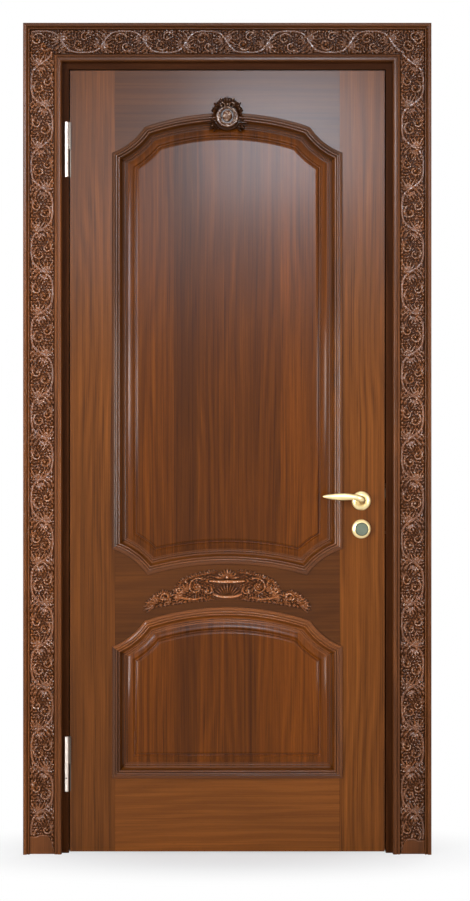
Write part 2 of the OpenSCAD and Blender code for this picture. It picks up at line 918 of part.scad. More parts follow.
module leaf_half(m) {
    difference() {
        union() {
            box([-hl, -lt, m - barrel_h / 2], [-hl + flap_t, flap_y, m + barrel_h / 2]);
            box([-hl, py, m + 0.15], [-hl + flap_t, -lt + 0.5, m + barrel_h / 2]);
            box([px + 4, py, m + 0.15], [-hl + 0.5, py + flap_t, m + barrel_h / 2]);
            translate([px, py, m + 0.15]) cylinder(r = barrel_r, h = barrel_h / 2 - 0.15);
        }
        hinge_bore(m);
    }
}

module hinge_pin(m) {
    translate([px, py, m - barrel_h / 2 + 5.2]) cylinder(r = pin_r, h = barrel_h - 10.4);
}

module upper_hinge_jamb_half() color("silver") {
    jamb_half(hinge_mid[0]);
}

module upper_hinge_leaf_half() color("silver") {
    leaf_half(hinge_mid[0]);
}

module upper_hinge_pin() color("gray") {
    hinge_pin(hinge_mid[0]);
}

module lower_hinge_jamb_half() color("silver") {
    jamb_half(hinge_mid[1]);
}

module lower_hinge_leaf_half() color("silver") {
    leaf_half(hinge_mid[1]);
}

module lower_hinge_pin() color("gray") {
    hinge_pin(hinge_mid[1]);
}

// lock
wall = 1.5;
hub_r = 10;
turn_hub_r = 7.4;

module lock_case() color("slategray") {
    a = hl - face_t - case_w;
    difference() {
        box([a, -case_t / 2, case_low], [hl - face_t, case_t / 2, case_low + case_h]);
        box(
            [a + wall, -case_t / 2 + wall, case_low + wall],
            [hl, case_t / 2 - wall, case_low + case_h - wall]
        );
        rod(kx, kz, hub_r + 0.3, -case_t, case_t);
        rod(kx, tz, turn_hub_r + 0.3, -case_t, case_t);
    }
}

module faceplate() color("goldenrod") {
    difference() {
        box([hl - face_t, -10, face_low], [hl, 10, face_low + face_h]);
        box([hl - 4, -5.7, latch_z - 12.2], [hl + 1, 5.7, latch_z + 12.2]);
        box([hl - 4, -5.7, bolt_z - 10.2], [hl + 1, 5.7, bolt_z + 10.2]);
    }
}

module latch_bolt() color("goldenrod") {
    translate([hl, 0, latch_z - 12])
        linear_extrude(24) polygon([[-20, -5.5], [12, -5.5], [12, -3], [3, 5.5], [-20, 5.5]]);
    difference() {
        box([kx - 8, -5.2, kz + hub_r + 1], [hl - 19, -3.2, latch_z + 9]);
        box([kx - 3.1, -6, kz], [kx + 3.1, 0, latch_z + 3.2]);
    }
}

module dead_bolt() color("goldenrod") {
    box([hl - 26, -5.5, bolt_z - 10], [hl - 0.2, 5.5, bolt_z + 10]);
    difference() {
        box([kx - 17, -5.2, tz + turn_hub_r + 0.6], [hl - 25, -3.2, bolt_z + 10]);
        box([kx - 12.6, -6, tz], [kx - 7.4, 0, tz + turn_arm + 2.7]);
    }
}

// a hub on the Y axis with a square hole and a crank up from it
module crank(hub, hole, arm, pin) {
    difference() {
        union() {
            rod(0, 0, hub, -case_t / 2, case_t / 2);
            box([-pin, -2.6, 0], [pin, 1, arm]);
            rod(0, arm, pin, -5.5, 1);
        }
        box([-hole / 2, -case_t, -hole / 2], [hole / 2, case_t, hole / 2]);
    }
}

module lever_follower() color("slategray") {
    translate([kx, 0, kz]) crank(hub_r, spindle + clear, latch_arm, 2.5);
}

module turn_follower() color("slategray") {
    translate([kx, 0, tz]) rotate([0, -45, 0]) crank(turn_hub_r, turn_spindle_w + clear, turn_arm, 2);
}

module square_spindle() color("gray") {
    s = spindle / 2;
    e = lt + 22;
    box([kx - s, -e, kz - s], [kx + s, e, kz + s]);
}

module turn_spindle() color("gray") {
    s = turn_spindle_w / 2;
    translate([kx, 0, tz])
        rotate([0, -45, 0])
            box([-s, -lt - 15, -s], [s, lt + 4, s]);
}

module rose(z, hole) {
    r = rose_d / 2;
    front() translate([kx, z, lt])
        rotate_extrude()
            polygon([
                [hole, 0], [r, 0], [r, 0.45 * rose_t],
                [r - 1.5, 0.75 * rose_t], [r - 5, rose_t], [hole, rose_t],
            ]);
}

module lever() {
    a = atan2(grip_up, grip_out - 22);
    front() translate([kx, kz, lt])
        difference() {
            union() {
                translate([0, 0, 0.4]) cylinder(r1 = 9.8, r2 = 9, h = 23);
                translate([0, 0, 22.5]) sphere(r = 9.3);
                translate([0, 0, 22])
                    rotate([-a, 0, 0])
                        cylinder(r = 8.4, h = norm([grip_up, grip_out - 22]));
                translate([0, grip_up, grip_out]) sphere(r = 9.6);
                translate([0, grip_up, grip_out])
                    rotate([0, -90, 0])
                        rotate_extrude()
                            polygon([
                                [0, 0], [7.4, 0], [6.8, 0.12 * grip_l], [0.86 * grip_r, 0.28 * grip_l],
                                [grip_r, 0.45 * grip_l], [0.95 * grip_r, 0.65 * grip_l],
                                [0.77 * grip_r, 0.83 * grip_l], [0.52 * grip_r, 0.94 * grip_l],
                                [0.25 * grip_r, 0.99 * grip_l], [0, grip_l],
                            ]);
            }
            translate([-spindle / 2 - clear / 2, -spindle / 2 - clear / 2, -1])
                cube([spindle + clear, spindle + clear, 23.5]);
        }
}

module front_lever_rose() color("gold") {
    rose(kz, 10.3);
}

module rear_lever_rose() color("gold") {
    rear() rose(kz, 10.3);
}

module front_lever() color("gold") {
    lever();
}

module rear_lever() color("gold") {
    rear() lever();
}

module front_turn_rose() color("gold") {
    rose(tz, 8.2);
}

module rear_turn_rose() color("gold") {
    rear() rose(tz, 8.2);
}

module turn_knob() color("lightgray") {
    r = knob_d / 2;
    front() translate([kx, tz, lt])
        difference() {
            union() {
                translate([0, 0, 0.4]) cylinder(r = 7.6, h = knob_out - 10);
                rotate_extrude()
                    polygon([
                        [0, knob_out - 14], [r - 2, knob_out - 14], [r, knob_out - 12],
                        [r, knob_out - 2], [r - 2, knob_out], [0, knob_out],
                    ]);
            }
            rotate([0, 0, 45])
                translate([-turn_spindle_w / 2 - clear / 2, -turn_spindle_w / 2 - clear / 2, -1])
                    cube([turn_spindle_w + clear, turn_spindle_w + clear, 16.5]);
        }
}

module release_disc() color("gold") {
    rear() front() translate([kx, tz, lt])
        difference() {
            translate([0, 0, 0.4]) cylinder(r = 7.6, h = rose_t - 0.4);
            rotate([0, 0, 45])
                translate([-turn_spindle_w / 2 - clear / 2, -turn_spindle_w / 2 - clear / 2, -1])
                    cube([turn_spindle_w + clear, turn_spindle_w + clear, 5.5]);
            translate([-6, -0.8, rose_t - 1.8]) cube([12, 1.6, 3]);
        }
}

hinge_jamb();
lock_jamb();
head_jamb();
frame_seal();
strike_plate();
casing_left();
casing_right();
casing_head();
hinge_stile();
lock_stile();
top_rail();
lock_rail();
bottom_rail();
upper_panel();
lower_panel();
upper_head_front();
upper_left_front();
upper_right_front();
upper_foot_front();
lower_head_front();
lower_left_front();
lower_right_front();
lower_foot_front();
upper_head_rear();
upper_left_rear();
upper_right_rear();
upper_foot_rear();
lower_head_rear();
lower_left_rear();
lower_right_rear();
lower_foot_rear();
crest();
rail_carving();
upper_hinge_jamb_half();
upper_hinge_leaf_half();
upper_hinge_pin();
lower_hinge_jamb_half();
lower_hinge_leaf_half();
lower_hinge_pin();
lock_case();
faceplate();
latch_bolt();
dead_bolt();
lever_follower();
turn_follower();
square_spindle();
turn_spindle();
front_lever_rose();
rear_lever_rose();
front_lever();
rear_lever();
front_turn_rose();
rear_turn_rose();
turn_knob();
release_disc();
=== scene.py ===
"""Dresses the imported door: timber and metal finishes, carving, fittings and a plain studio."""

import math
from contextlib import contextmanager

import bpy
import numpy as np
from bpy.props import FloatProperty, FloatVectorProperty, PointerProperty
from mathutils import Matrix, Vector


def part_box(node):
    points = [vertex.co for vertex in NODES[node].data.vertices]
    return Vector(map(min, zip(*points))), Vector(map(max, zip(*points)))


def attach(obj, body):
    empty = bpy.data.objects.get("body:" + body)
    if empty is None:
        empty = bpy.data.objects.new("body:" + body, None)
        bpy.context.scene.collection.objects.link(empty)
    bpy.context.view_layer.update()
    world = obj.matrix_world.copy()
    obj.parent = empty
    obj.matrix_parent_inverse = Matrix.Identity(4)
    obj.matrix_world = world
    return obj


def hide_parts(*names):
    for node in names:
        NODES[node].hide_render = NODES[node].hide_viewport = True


bl_info = {
    "name": "Carved timber door",
    "version": (1, 0, 0),
    "blender": (4, 5, 0),
    "location": "View3D > Sidebar > Door",
    "description": "Finishes a panelled door in its carved frame and sets it in a plain studio",
    "category": "Object",
}

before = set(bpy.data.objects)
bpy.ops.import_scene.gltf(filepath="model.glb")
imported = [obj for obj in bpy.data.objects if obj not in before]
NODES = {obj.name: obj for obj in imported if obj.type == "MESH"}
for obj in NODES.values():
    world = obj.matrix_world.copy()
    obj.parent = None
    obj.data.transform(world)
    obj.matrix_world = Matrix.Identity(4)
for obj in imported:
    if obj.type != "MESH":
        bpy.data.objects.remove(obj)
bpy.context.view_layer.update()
MM = 0.001

# Size of the photograph, and the middle and the top of the leaf in it, in pixels
PHOTO = (470, 901)
LEAF_PIXELS = (227.3, 70.6)

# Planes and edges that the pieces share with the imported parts, in metres
LEAF_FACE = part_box("lock_stile")[0].y
CASING_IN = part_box("casing_right")[0].x
CASING_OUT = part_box("casing_right")[1].x
CASING_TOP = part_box("casing_head")[1].z
CASING_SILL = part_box("casing_head")[0].z
CASING_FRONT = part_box("casing_head")[0].y
# Both faces of the leaf: plane in millimetres, side and name
FACES = ((LEAF_FACE / MM, -1, "front"), (-LEAF_FACE / MM, 1, "rear"))


def swatch(label, use, colour):
    """A colour to set in the sidebar."""
    return FloatVectorProperty(
        name=label, description=use, subtype="COLOR", size=3, min=0, max=1, default=colour,
    )


def number(label, use, low, high, value, **more):
    """A number to set in the sidebar."""
    return FloatProperty(name=label, description=use, min=low, max=high, default=value, **more)


class TimberSettings(bpy.types.PropertyGroup):
    """Tones and gloss of the lacquered timber."""

    leaf: swatch("Leaf", "Mid tone of the stiles and rails", (0.146, 0.042, 0.006))
    panel: swatch("Panels", "Mid tone of the raised panels", (0.130, 0.032, 0.002))
    moulding: swatch("Mouldings", "Mid tone of the mouldings", (0.108, 0.030, 0.004))
    casing: swatch("Casing", "Mid tone of the carved casing", (0.198, 0.060, 0.014))
    # The jamb tone is kept dark as painted shade for the reveal between casing and leaf
    jamb: swatch("Jambs", "Mid tone of the jambs", (0.047, 0.013, 0.003))
    roughness: number("Roughness", "Roughness of the lacquer", 0, 1, 0.36, subtype="FACTOR")


class CarvingSettings(bpy.types.PropertyGroup):
    """Form of the carved ornament."""

    wave: number("Wave", "Length of half a wave of the vine", 0.08, 0.14, 0.104, unit="LENGTH")
    relief: number("Relief", "Height of the vine above its ground", 0.004, 0.010, 0.0094, unit="LENGTH")
    cell: number("Cell", "Size of a cell of the carved casing", 0.0008, 0.004, 0.00124, unit="LENGTH")


class MetalSettings(bpy.types.PropertyGroup):
    """Colours of the fittings."""

    brass: swatch("Brass", "Colour of the levers, roses and lock plates", (0.80, 0.69, 0.48))
    nickel: swatch("Nickel", "Colour of the hinges", (0.72, 0.63, 0.56))
    steel: swatch("Steel", "Colour of the pins, screws and lock case", (0.50, 0.50, 0.51))
    knob: swatch("Knob", "Colour of the turn knob", (0.115, 0.130, 0.095))


class StudioSettings(bpy.types.PropertyGroup):
    """Camera, floor and lamps."""

    distance: number("Distance", "Distance of the camera from the leaf", 3, 12, 5.5, unit="LENGTH")
    scale: number("Scale", "Millimetres to a pixel at the face of the leaf", 1, 5, 2.5615)
    fill: number("Fill", "Strength of the even light from all round", 0, 2, 0.30)
    key: number("Key", "Power that each lamp takes a share of", 0, 2000, 100)


class Sock:
    """A shader socket that takes part in sums and products of values."""

    def __init__(self, finish, socket):
        self.finish = finish
        self.socket = socket

    def math(self, operation, *others):
        values = dict(enumerate((self, *others)))
        return self.finish.node("Math", values, operation=operation).out(0)

    def __add__(self, other):
        return self.math("ADD", other)

    __radd__ = __add__

    def __mul__(self, other):
        return self.math("MULTIPLY", other)

    __rmul__ = __mul__

    def __sub__(self, other):
        return self.math("SUBTRACT", other)

    def __rsub__(self, other):
        return (self * -1.0) + other

    def step(self, low, high):
        """A smooth rise from 0 at low to 1 at high."""
        values = {"Value": self, "From Min": low, "From Max": high}
        return self.finish.node("MapRange", values, interpolation_type="SMOOTHSTEP").out("Result")


class Part:
    """A shader node, asked for its outputs."""

    def __init__(self, finish, node):
        self.finish = finish
        self.node = node

    def out(self, name):
        return Sock(self.finish, self.node.outputs[name])


class Finish:
    """The nodes of one material or world."""

    def __init__(self, owner):
        owner.use_nodes = True
        self.tree = owner.node_tree
        self.tree.nodes.clear()

    def node(self, kind, values=None, **settings):
        """Adds a node: its settings first, then the values or links of its sockets."""
        made = self.tree.nodes.new("ShaderNode" + kind)
        for key, value in settings.items():
            setattr(made, key, value)
        for key, value in (values or {}).items():
            socket = made.inputs[key]
            if isinstance(value, Sock):
                self.tree.links.new(value.socket, socket)
            else:
                socket.default_value = value
        return Part(self, made)

    def place(self):
        """Object coordinates as three values."""
        split = self.node("SeparateXYZ", {"Vector": self.node("TexCoord").out("Object")})
        return split.out("X"), split.out("Y"), split.out("Z")

    def noise(self, vector, detail=2.0, roughness=0.5):
        """Noise at a point given as three values."""
        joined = self.node("CombineXYZ", dict(zip("XYZ", vector))).out("Vector")
        values = {"Vector": joined, "Scale": 1.0, "Detail": detail, "Roughness": roughness}
        return self.node("TexNoise", values, noise_dimensions="3D").out("Fac")

    def ramp(self, value, stops, interpolation="LINEAR"):
        """A colour that runs over stops of place and colour."""
        part = self.node("ValToRGB", {"Fac": value})
        ramp = part.node.color_ramp
        ramp.interpolation = interpolation
        while len(ramp.elements) < len(stops):
            ramp.elements.new(1.0)
        for element, (place, colour) in zip(ramp.elements, stops):
            element.position = place
            element.color = (*colour, 1.0)
        return part.out("Color")

    def mix(self, blend, share, first, second):
        """Two colours mixed by a share."""
        values = {0: share, 6: first, 7: second}
        return self.node("Mix", values, data_type="RGBA", blend_type=blend).out(2)

    def bump(self, height, strength, distance):
        values = {"Height": height, "Strength": strength, "Distance": distance}
        return self.node("Bump", values).out("Normal")

    def surface(self, values):
        shader = self.node("BsdfPrincipled", values).out("BSDF")
        self.node("OutputMaterial", {"Surface": shader})


def shade(colour, factor, warm=0.0):
    """A colour made lighter or darker, and warmer by a share."""
    r, g, b = colour
    return (min(1, r * factor * (1 + warm)), g * factor, b * factor * (1 - warm))


def grey(value):
    return (value, value, value)


# Edges of the panel staves from left to right in millimetres, with the tone of each stave
STAVES = (
    (-300, 1.14), (-201, 1.10), (-137, 0.82), (-80, 1.04), (-11, 0.94),
    (76, 1.08), (135, 1.32), (201, 1.30),
)

# Gloss of the lacquer: specular level, coat and roughness of the coat
PLAIN = (0.035, 0.21, 0.16)
FIELD = (0.035, 0.19, 0.16)
SATIN = (0.035, 0.16, 0.16)
DULL = (0.02, 0.0, 0.30)
GLOSSY = (0.06, 0.50, 0.14)
CARVED = (0.10, 0.80, 0.14)

# Shares of the tone in the darkest and lightest lines of upright and level grain, and strength of its veins
GRAIN = {"Z": (0.48, 1.60, 0.5), "X": (0.78, 1.20, 0.2)}
# Half widths of a hairline joint, from its dark middle to its edge, in metres
HAIRLINE = (0.0002, 0.0010)
# Painted glints: bright spots painted on the highest carving as highlights
PAINTED_GLINT = (0.66, 0.47, 0.35, 1.0)


def timber(name, along, tone, gloss, joints=(), staves=False, painted_shade_span=None, painted_highlight=0.0, seed=0.0):
    """Lacquered timber with its grain along Z or X, hairline joints and staves.

    A painted-shade span gives the heights between which the colour turns from painted shade in the hollows to
    clear, and a painted-highlight share lightens what stands highest there as painted highlight, with painted
    glints.
    """
    material = bpy.data.materials.new(name)
    f = Finish(material)
    x, y, z = f.place()
    run, side = (z, x) if along == "Z" else (x, z)
    dark, light, strength = GRAIN[along]
    depth = y + seed
    if staves:
        stops = [(0.5 + edge / 1000, grey(value / 2)) for edge, value in STAVES]
        tint = f.ramp(x + 0.5, stops, "CONSTANT")
        depth = depth + f.node("RGBToBW", {"Color": tint}).out("Val") * 7.0
    # the grain: slow bends, streaks, fine lines, figure, pores and dark veins
    slow = f.noise((side * 6.0, depth * 6.0, run * 1.1), 2.0)
    grain = side + (slow - 0.5) * 0.030
    streak = f.noise((grain * 170.0, depth * 60.0, run * 1.5), 5.0, 0.72)
    fine = f.noise((grain * 900.0, depth * 300.0, run * 8.0), 3.0, 0.6)
    figure = ((grain * 30.0 + slow * 6.0) * 6.2832).math("SINE") * 0.5 + 0.5
    pores = f.noise((grain * 1900.0, depth * 900.0, run * 40.0), 1.0).step(0.62, 0.75)
    veins = f.noise((grain * 120.0, depth * 25.0, run * 0.9), 3.0, 0.55).step(0.56, 0.68)
    colour = f.ramp(streak * 0.56 + fine * 0.36 + figure * 0.08, [
        (0.36, shade(tone, dark, 0.05)),
        (0.46, shade(tone, 0.86, 0.01)),
        (0.55, shade(tone, 1.10)),
        (0.66, shade(tone, light, -0.05)),
    ])
    colour = f.mix("MIX", veins * strength, colour, (*shade(tone, 0.42, 0.04), 1.0))
    wide = f.noise((side * 11.0, depth * 9.0, run * 1.6), 2.0)
    colour = f.mix("MULTIPLY", 1.0, colour, f.ramp(wide, [(0.30, grey(0.74)), (0.70, grey(1.0))]))
    if staves:
        colour = f.mix("MULTIPLY", 1.0, colour, f.mix("ADD", 1.0, tint, tint))
    colour = f.mix("MIX", pores * 0.40, colour, (*shade(tone, 0.30), 1.0))
    seam = None
    for axis, at in joints:
        gap = ((x if axis == "X" else z) - at).math("ABSOLUTE")
        mark = 1.0 - gap.step(*HAIRLINE)
        seam = mark if seam is None else seam.math("MAXIMUM", mark)
    if seam is not None:
        colour = f.mix("MIX", seam * 0.6, colour, (*shade(tone, 0.20), 1.0))
    level, coat, skin = gloss
    # Painted shade: below the span the colour darkens into the hollows, where shade falls, and the coat thins
    # there
    if painted_shade_span:
        low, high = painted_shade_span
        rise = y * -1.0
        clear = rise.step(low, low + 0.62 * (high - low))
        colour = f.mix("MIX", 0.9 - 0.9 * clear, colour, (*shade(tone, 0.25, 0.05), 1.0))
        # Painted highlight: the highest parts are lightened and spotted with painted glints
        if painted_highlight:
            painted_highlight_mask = rise.step(low + 0.50 * (high - low), high)
            colour = f.mix("MIX", painted_highlight_mask * painted_highlight, colour, (*shade(tone, 1.9, -0.08), 1.0))
            painted_glints = f.noise((x * 210.0, y * 60.0, z * 210.0), 2.0).step(0.52, 0.66)
            colour = f.mix("MIX", painted_glints * painted_highlight_mask * 0.8, colour, PAINTED_GLINT)
        coat = coat * (0.04 + 0.96 * clear)
    f.surface({
        "Base Color": colour,
        "Roughness": bpy.context.scene.door_timber.roughness + 0.08 * fine + 0.08 * pores,
        "Specular IOR Level": level,
        "Coat Weight": coat,
        "Coat Roughness": skin,
        "Normal": f.bump(fine * 0.4 - pores, 0.18, 0.0002),
    })
    return material


# Density of the fine marks along X, Y and Z, by the axis that a metal is brushed along
MARKS = {None: (420.0, 420.0, 420.0), "Z": (1800.0, 1800.0, 30.0), "X": (30.0, 1800.0, 1800.0)}


def metal(name, colour, roughness, brushed=None, wear=0.06, painted_shade_beside=None):
    """Plated or polished metal with fine marks, brushed along an axis, and painted dark as shade outside a
    barrel.
    """
    material = bpy.data.materials.new(name)
    f = Finish(material)
    x, y, z = f.place()
    marks = f.noise([axis * scale for axis, scale in zip((x, y, z), MARKS[brushed])], 3.0, 0.6)
    cloud = f.noise((x * 60.0, y * 60.0, z * 60.0), 2.0)
    base = f.ramp(cloud * 0.6 + marks * 0.4, [
        (0.30, shade(colour, 0.90)), (0.55, colour), (0.80, shade(colour, 1.05)),
    ])
    # Painted shade: beside the barrel and behind the face of the leaf the colour is darkened to near black
    if painted_shade_beside is not None:
        middle, radius, face = painted_shade_beside
        beside = (x - middle).math("ABSOLUTE").step(radius - 0.0001, radius + 0.0001)
        painted_shade_mask = y.step(face - 0.0002, face + 0.0002).math("MAXIMUM", beside)
        base = f.mix("MIX", painted_shade_mask, base, (*shade(colour, 0.12, 0.1), 1.0))
    f.surface({
        "Base Color": base,
        "Metallic": 1.0,
        "Roughness": roughness + wear * (marks - 0.5) + wear * (cloud - 0.5),
        "Normal": f.bump(marks, 0.08 if brushed else 0.03, 0.0001),
    })
    return material


def rubber(name, colour):
    """Dark sealing strip with a fine matt skin."""
    material = bpy.data.materials.new(name)
    f = Finish(material)
    x, y, z = f.place()
    skin = f.noise((x * 900.0, y * 900.0, z * 900.0), 2.0)
    base = f.ramp(skin, [(0.3, shade(colour, 0.8)), (0.7, shade(colour, 1.2))])
    f.surface({
        "Base Color": base,
        "Roughness": 0.62 + 0.2 * skin,
        "Normal": f.bump(skin, 0.2, 0.0002),
    })
    return material


def dress(material, *names):
    """Gives CAD nodes a finish."""
    for name in names:
        mesh = NODES[name].data
        mesh.materials.clear()
        mesh.materials.append(material)


def deselect():
    bpy.ops.object.select_all(action="DESELECT")


def alone(piece):
    """Selects one piece and makes it active."""
    deselect()
    piece.select_set(True)
    bpy.context.view_layer.objects.active = piece


@contextmanager
def editing(piece, action=None, kind="VERT"):
    """Edit mode on one piece, with all, nothing or what was picked before selected."""
    alone(piece)
    bpy.ops.object.mode_set(mode="EDIT")
    bpy.ops.mesh.select_mode(type=kind)
    if action:
        bpy.ops.mesh.select_all(action=action)
    yield
    bpy.ops.object.mode_set(mode="OBJECT")


def pick_faces(piece, chosen):
    """Selects faces of a piece for the next edit."""
    with editing(piece, "DESELECT", "FACE"):
        pass
    piece.data.polygons.foreach_set("select", chosen)


def pick_open_edges():
    """Selects the open edges of the piece in edit mode."""
    bpy.ops.mesh.select_non_manifold(
        extend=False, use_wire=False, use_boundary=True, use_multi_face=False,
        use_non_contiguous=False, use_verts=False,
    )


def points(piece):
    """The piece's vertices as an array."""
    at = np.zeros(len(piece.data.vertices) * 3)
    piece.data.vertices.foreach_get("co", at)
    return at.reshape(-1, 3)


def move_points(piece, at):
    piece.data.vertices.foreach_set("co", np.asarray(at, np.float32).ravel())
    piece.data.update()


def grid(name, columns, rows):
    """A grid primitive and the place of each of its vertices, both from 0 to 1."""
    deselect()
    bpy.ops.mesh.primitive_grid_add(x_subdivisions=columns, y_subdivisions=rows, size=1.0)
    piece = bpy.context.object
    piece.name = piece.data.name = name
    return piece, points(piece)[:, :2] + 0.5


def lofted(name, rings):
    """A skin through rings of points; a ring of one repeated point closes an end."""
    rings = np.asarray(rings, float)
    rows, count = rings.shape[0] - 1, rings.shape[1]
    piece, share = grid(name, count, rows)
    i = np.rint(share[:, 1] * rows).astype(int)
    j = np.rint(share[:, 0] * count).astype(int) % count
    move_points(piece, rings[i, j])
    with editing(piece, "SELECT"):
        bpy.ops.mesh.remove_doubles(threshold=1e-6)
        bpy.ops.mesh.normals_make_consistent(inside=False)
    return piece


def capped(name, rings):
    """A skin through rings of points, closed by a fan at each end."""
    first, last = (np.broadcast_to(rings[n].mean(0), rings[n].shape) for n in (0, -1))
    return lofted(name, np.stack([first, *rings, last]))


def settle(piece, body, slot, material, *replaced):
    """Finishes a piece: smooth faces, material if given, body, and the CAD nodes that it stands for; the slot
    is not used.
    """
    alone(piece)
    bpy.ops.object.transform_apply(location=True, rotation=True, scale=True)
    bpy.ops.object.shade_smooth_by_angle(angle=math.radians(38))
    if material:
        piece.data.materials.clear()
        piece.data.materials.append(material)
    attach(piece, body)
    if replaced:
        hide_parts(*replaced)
    piece.select_set(False)
    return piece


def joined(name, pieces):
    """Joins pieces into the first of them."""
    deselect()
    for piece in pieces:
        piece.select_set(True)
    bpy.context.view_layer.objects.active = pieces[0]
    bpy.ops.object.join()
    bpy.context.object.name = bpy.context.object.data.name = name
    return bpy.context.object


# Carving: each form gives heights over points of the front view, in millimetres

def heading(turn):
    return np.array([math.cos(turn), math.sin(turn)])


def rib(at, path, width, height, groove=0.0):
    """A rounded rib along a path, with half widths and heights at its points."""
    path, width, height = (np.asarray(v, float) for v in (path, width, height))
    top = np.zeros(len(at))
    for k in range(len(path) - 1):
        a, way = path[k], path[k + 1] - path[k]
        t = np.clip(((at - a) @ way) / (way @ way), 0, 1)
        off = np.hypot(*(at - a - t[:, None] * way).T)
        w = width[k] + t * (width[k + 1] - width[k])
        h = height[k] + t * (height[k + 1] - height[k])
        q = off / w
        dome = np.sqrt(np.clip(1 - q * q, 0, 1)) - groove * np.exp(-((q / 0.3) ** 2))
        top = np.maximum(top, h * dome)
    return top


def lobe(at, base, tip, width, height, curl=0.0, vein=0.3):
    """One lobe of a leaf or petal from base to tip, hollowed along its middle."""
    base, tip = np.asarray(base, float), np.asarray(tip, float)
    way = tip - base
    length = np.hypot(*way)
    e = way / length
    s = ((at - base) @ e) / length
    q = ((at - base) @ np.array([-e[1], e[0]])) / width - curl * s * s
    inside = (s > 0) & (s < 1)
    reach = np.where(inside, np.sin(np.pi * np.clip(s, 0, 1) ** 0.8) ** 0.62, 0) + 1e-6
    edge = np.sqrt(np.clip(1 - (q / reach) ** 2, 0, 1))
    rise = height * (0.55 + 0.45 * np.clip(s, 0, 1))
    return np.where(inside, rise * edge * (1 - vein * np.exp(-((q / 0.22) ** 2))), 0)


def bead(at, centre, radius, height):
    q = np.hypot(*(at - np.asarray(centre, float)).T) / radius
    return height * np.sqrt(np.clip(1 - q * q, 0, 1))


def fan(at, base, angle, length, width, height, count, spread, fall=0.16, start=0.12):
    """A leaf of several lobes that spread from its base; angles in degrees."""
    top = np.zeros(len(at))
    middle = (count - 1) / 2
    for k in range(count):
        off = (k - middle) / max(middle, 1)
        d = heading(math.radians(angle + off * spread))
        reach = length * (1 - fall * off * off)
        root = np.asarray(base, float) + start * length * d
        tip = np.asarray(base, float) + reach * d
        top = np.maximum(top, lobe(at, root, tip, width, height * (1 - 0.10 * abs(off)), 0.35 * off))
    return top


def curl(at, centre, start, sweep, first, last, width, height, groove=0.3, steps=28):
    """A scroll round a centre that winds in from its first to its last radius."""
    t = np.linspace(0, 1, steps)
    angle = np.radians(start + sweep * t)
    radius = first + (last - first) * t ** 0.8
    path = np.asarray(centre, float) + radius[:, None] * np.stack([np.cos(angle), np.sin(angle)], 1)
    return rib(at, path, width * (1 - 0.4 * t), height * (0.9 + 0.1 * t), groove)


def scatter(at, low, high, pitch, flow, height, seed):
    """Small leaf tips over a region, each turned along the flow at its place."""
    rng = np.random.default_rng(seed)
    top = np.zeros(len(at))
    for i, u in enumerate(np.arange(low[0], high[0], pitch)):
        for v in np.arange(low[1] + (i % 2) * 0.5 * pitch, high[1], pitch):
            root = np.array([u, v]) + pitch * rng.uniform(-0.22, 0.22, 2)
            d = heading(flow(root) + rng.uniform(-0.5, 0.5))
            reach = pitch * rng.uniform(0.95, 1.25)
            near = np.hypot(*(at - root).T) < reach + 1
            if near.any():
                tip = lobe(at[near], root - 0.5 * reach * d, root + 0.5 * reach * d, 0.36 * pitch,
                           height * rng.uniform(0.8, 1.1), 0.0, 0.2)
                top[near] = np.maximum(top[near], tip)
    return top


def flower(at, centre, radius, height, petals, turn=0.0):
    top = bead(at, centre, 0.30 * radius, 1.05 * height)
    c = np.asarray(centre, float)
    for k in range(petals):
        d = heading(math.radians(turn + 360 * k / petals))
        top = np.maximum(top, lobe(at, c + 0.22 * radius * d, c + radius * d, 0.40 * radius, height))
    return top


# Half width and length of the bay that the vine is drawn for, and the relief of its forms, in millimetres
BAY_HALF, BAY_LENGTH, BAY_RELIEF = 31.0, 104.5, 9.0
# Leaf tips outside the stem: place, and turn in degrees
TIPS = (
    (66, -15, -150), (58, -10, -138), (50, -4, -128), (60, -20, -128), (52, -15, -118),
    (44, -9, -118), (54, -25, -104), (46, -20, -100), (38, -13, -104), (36, -23, -86),
)


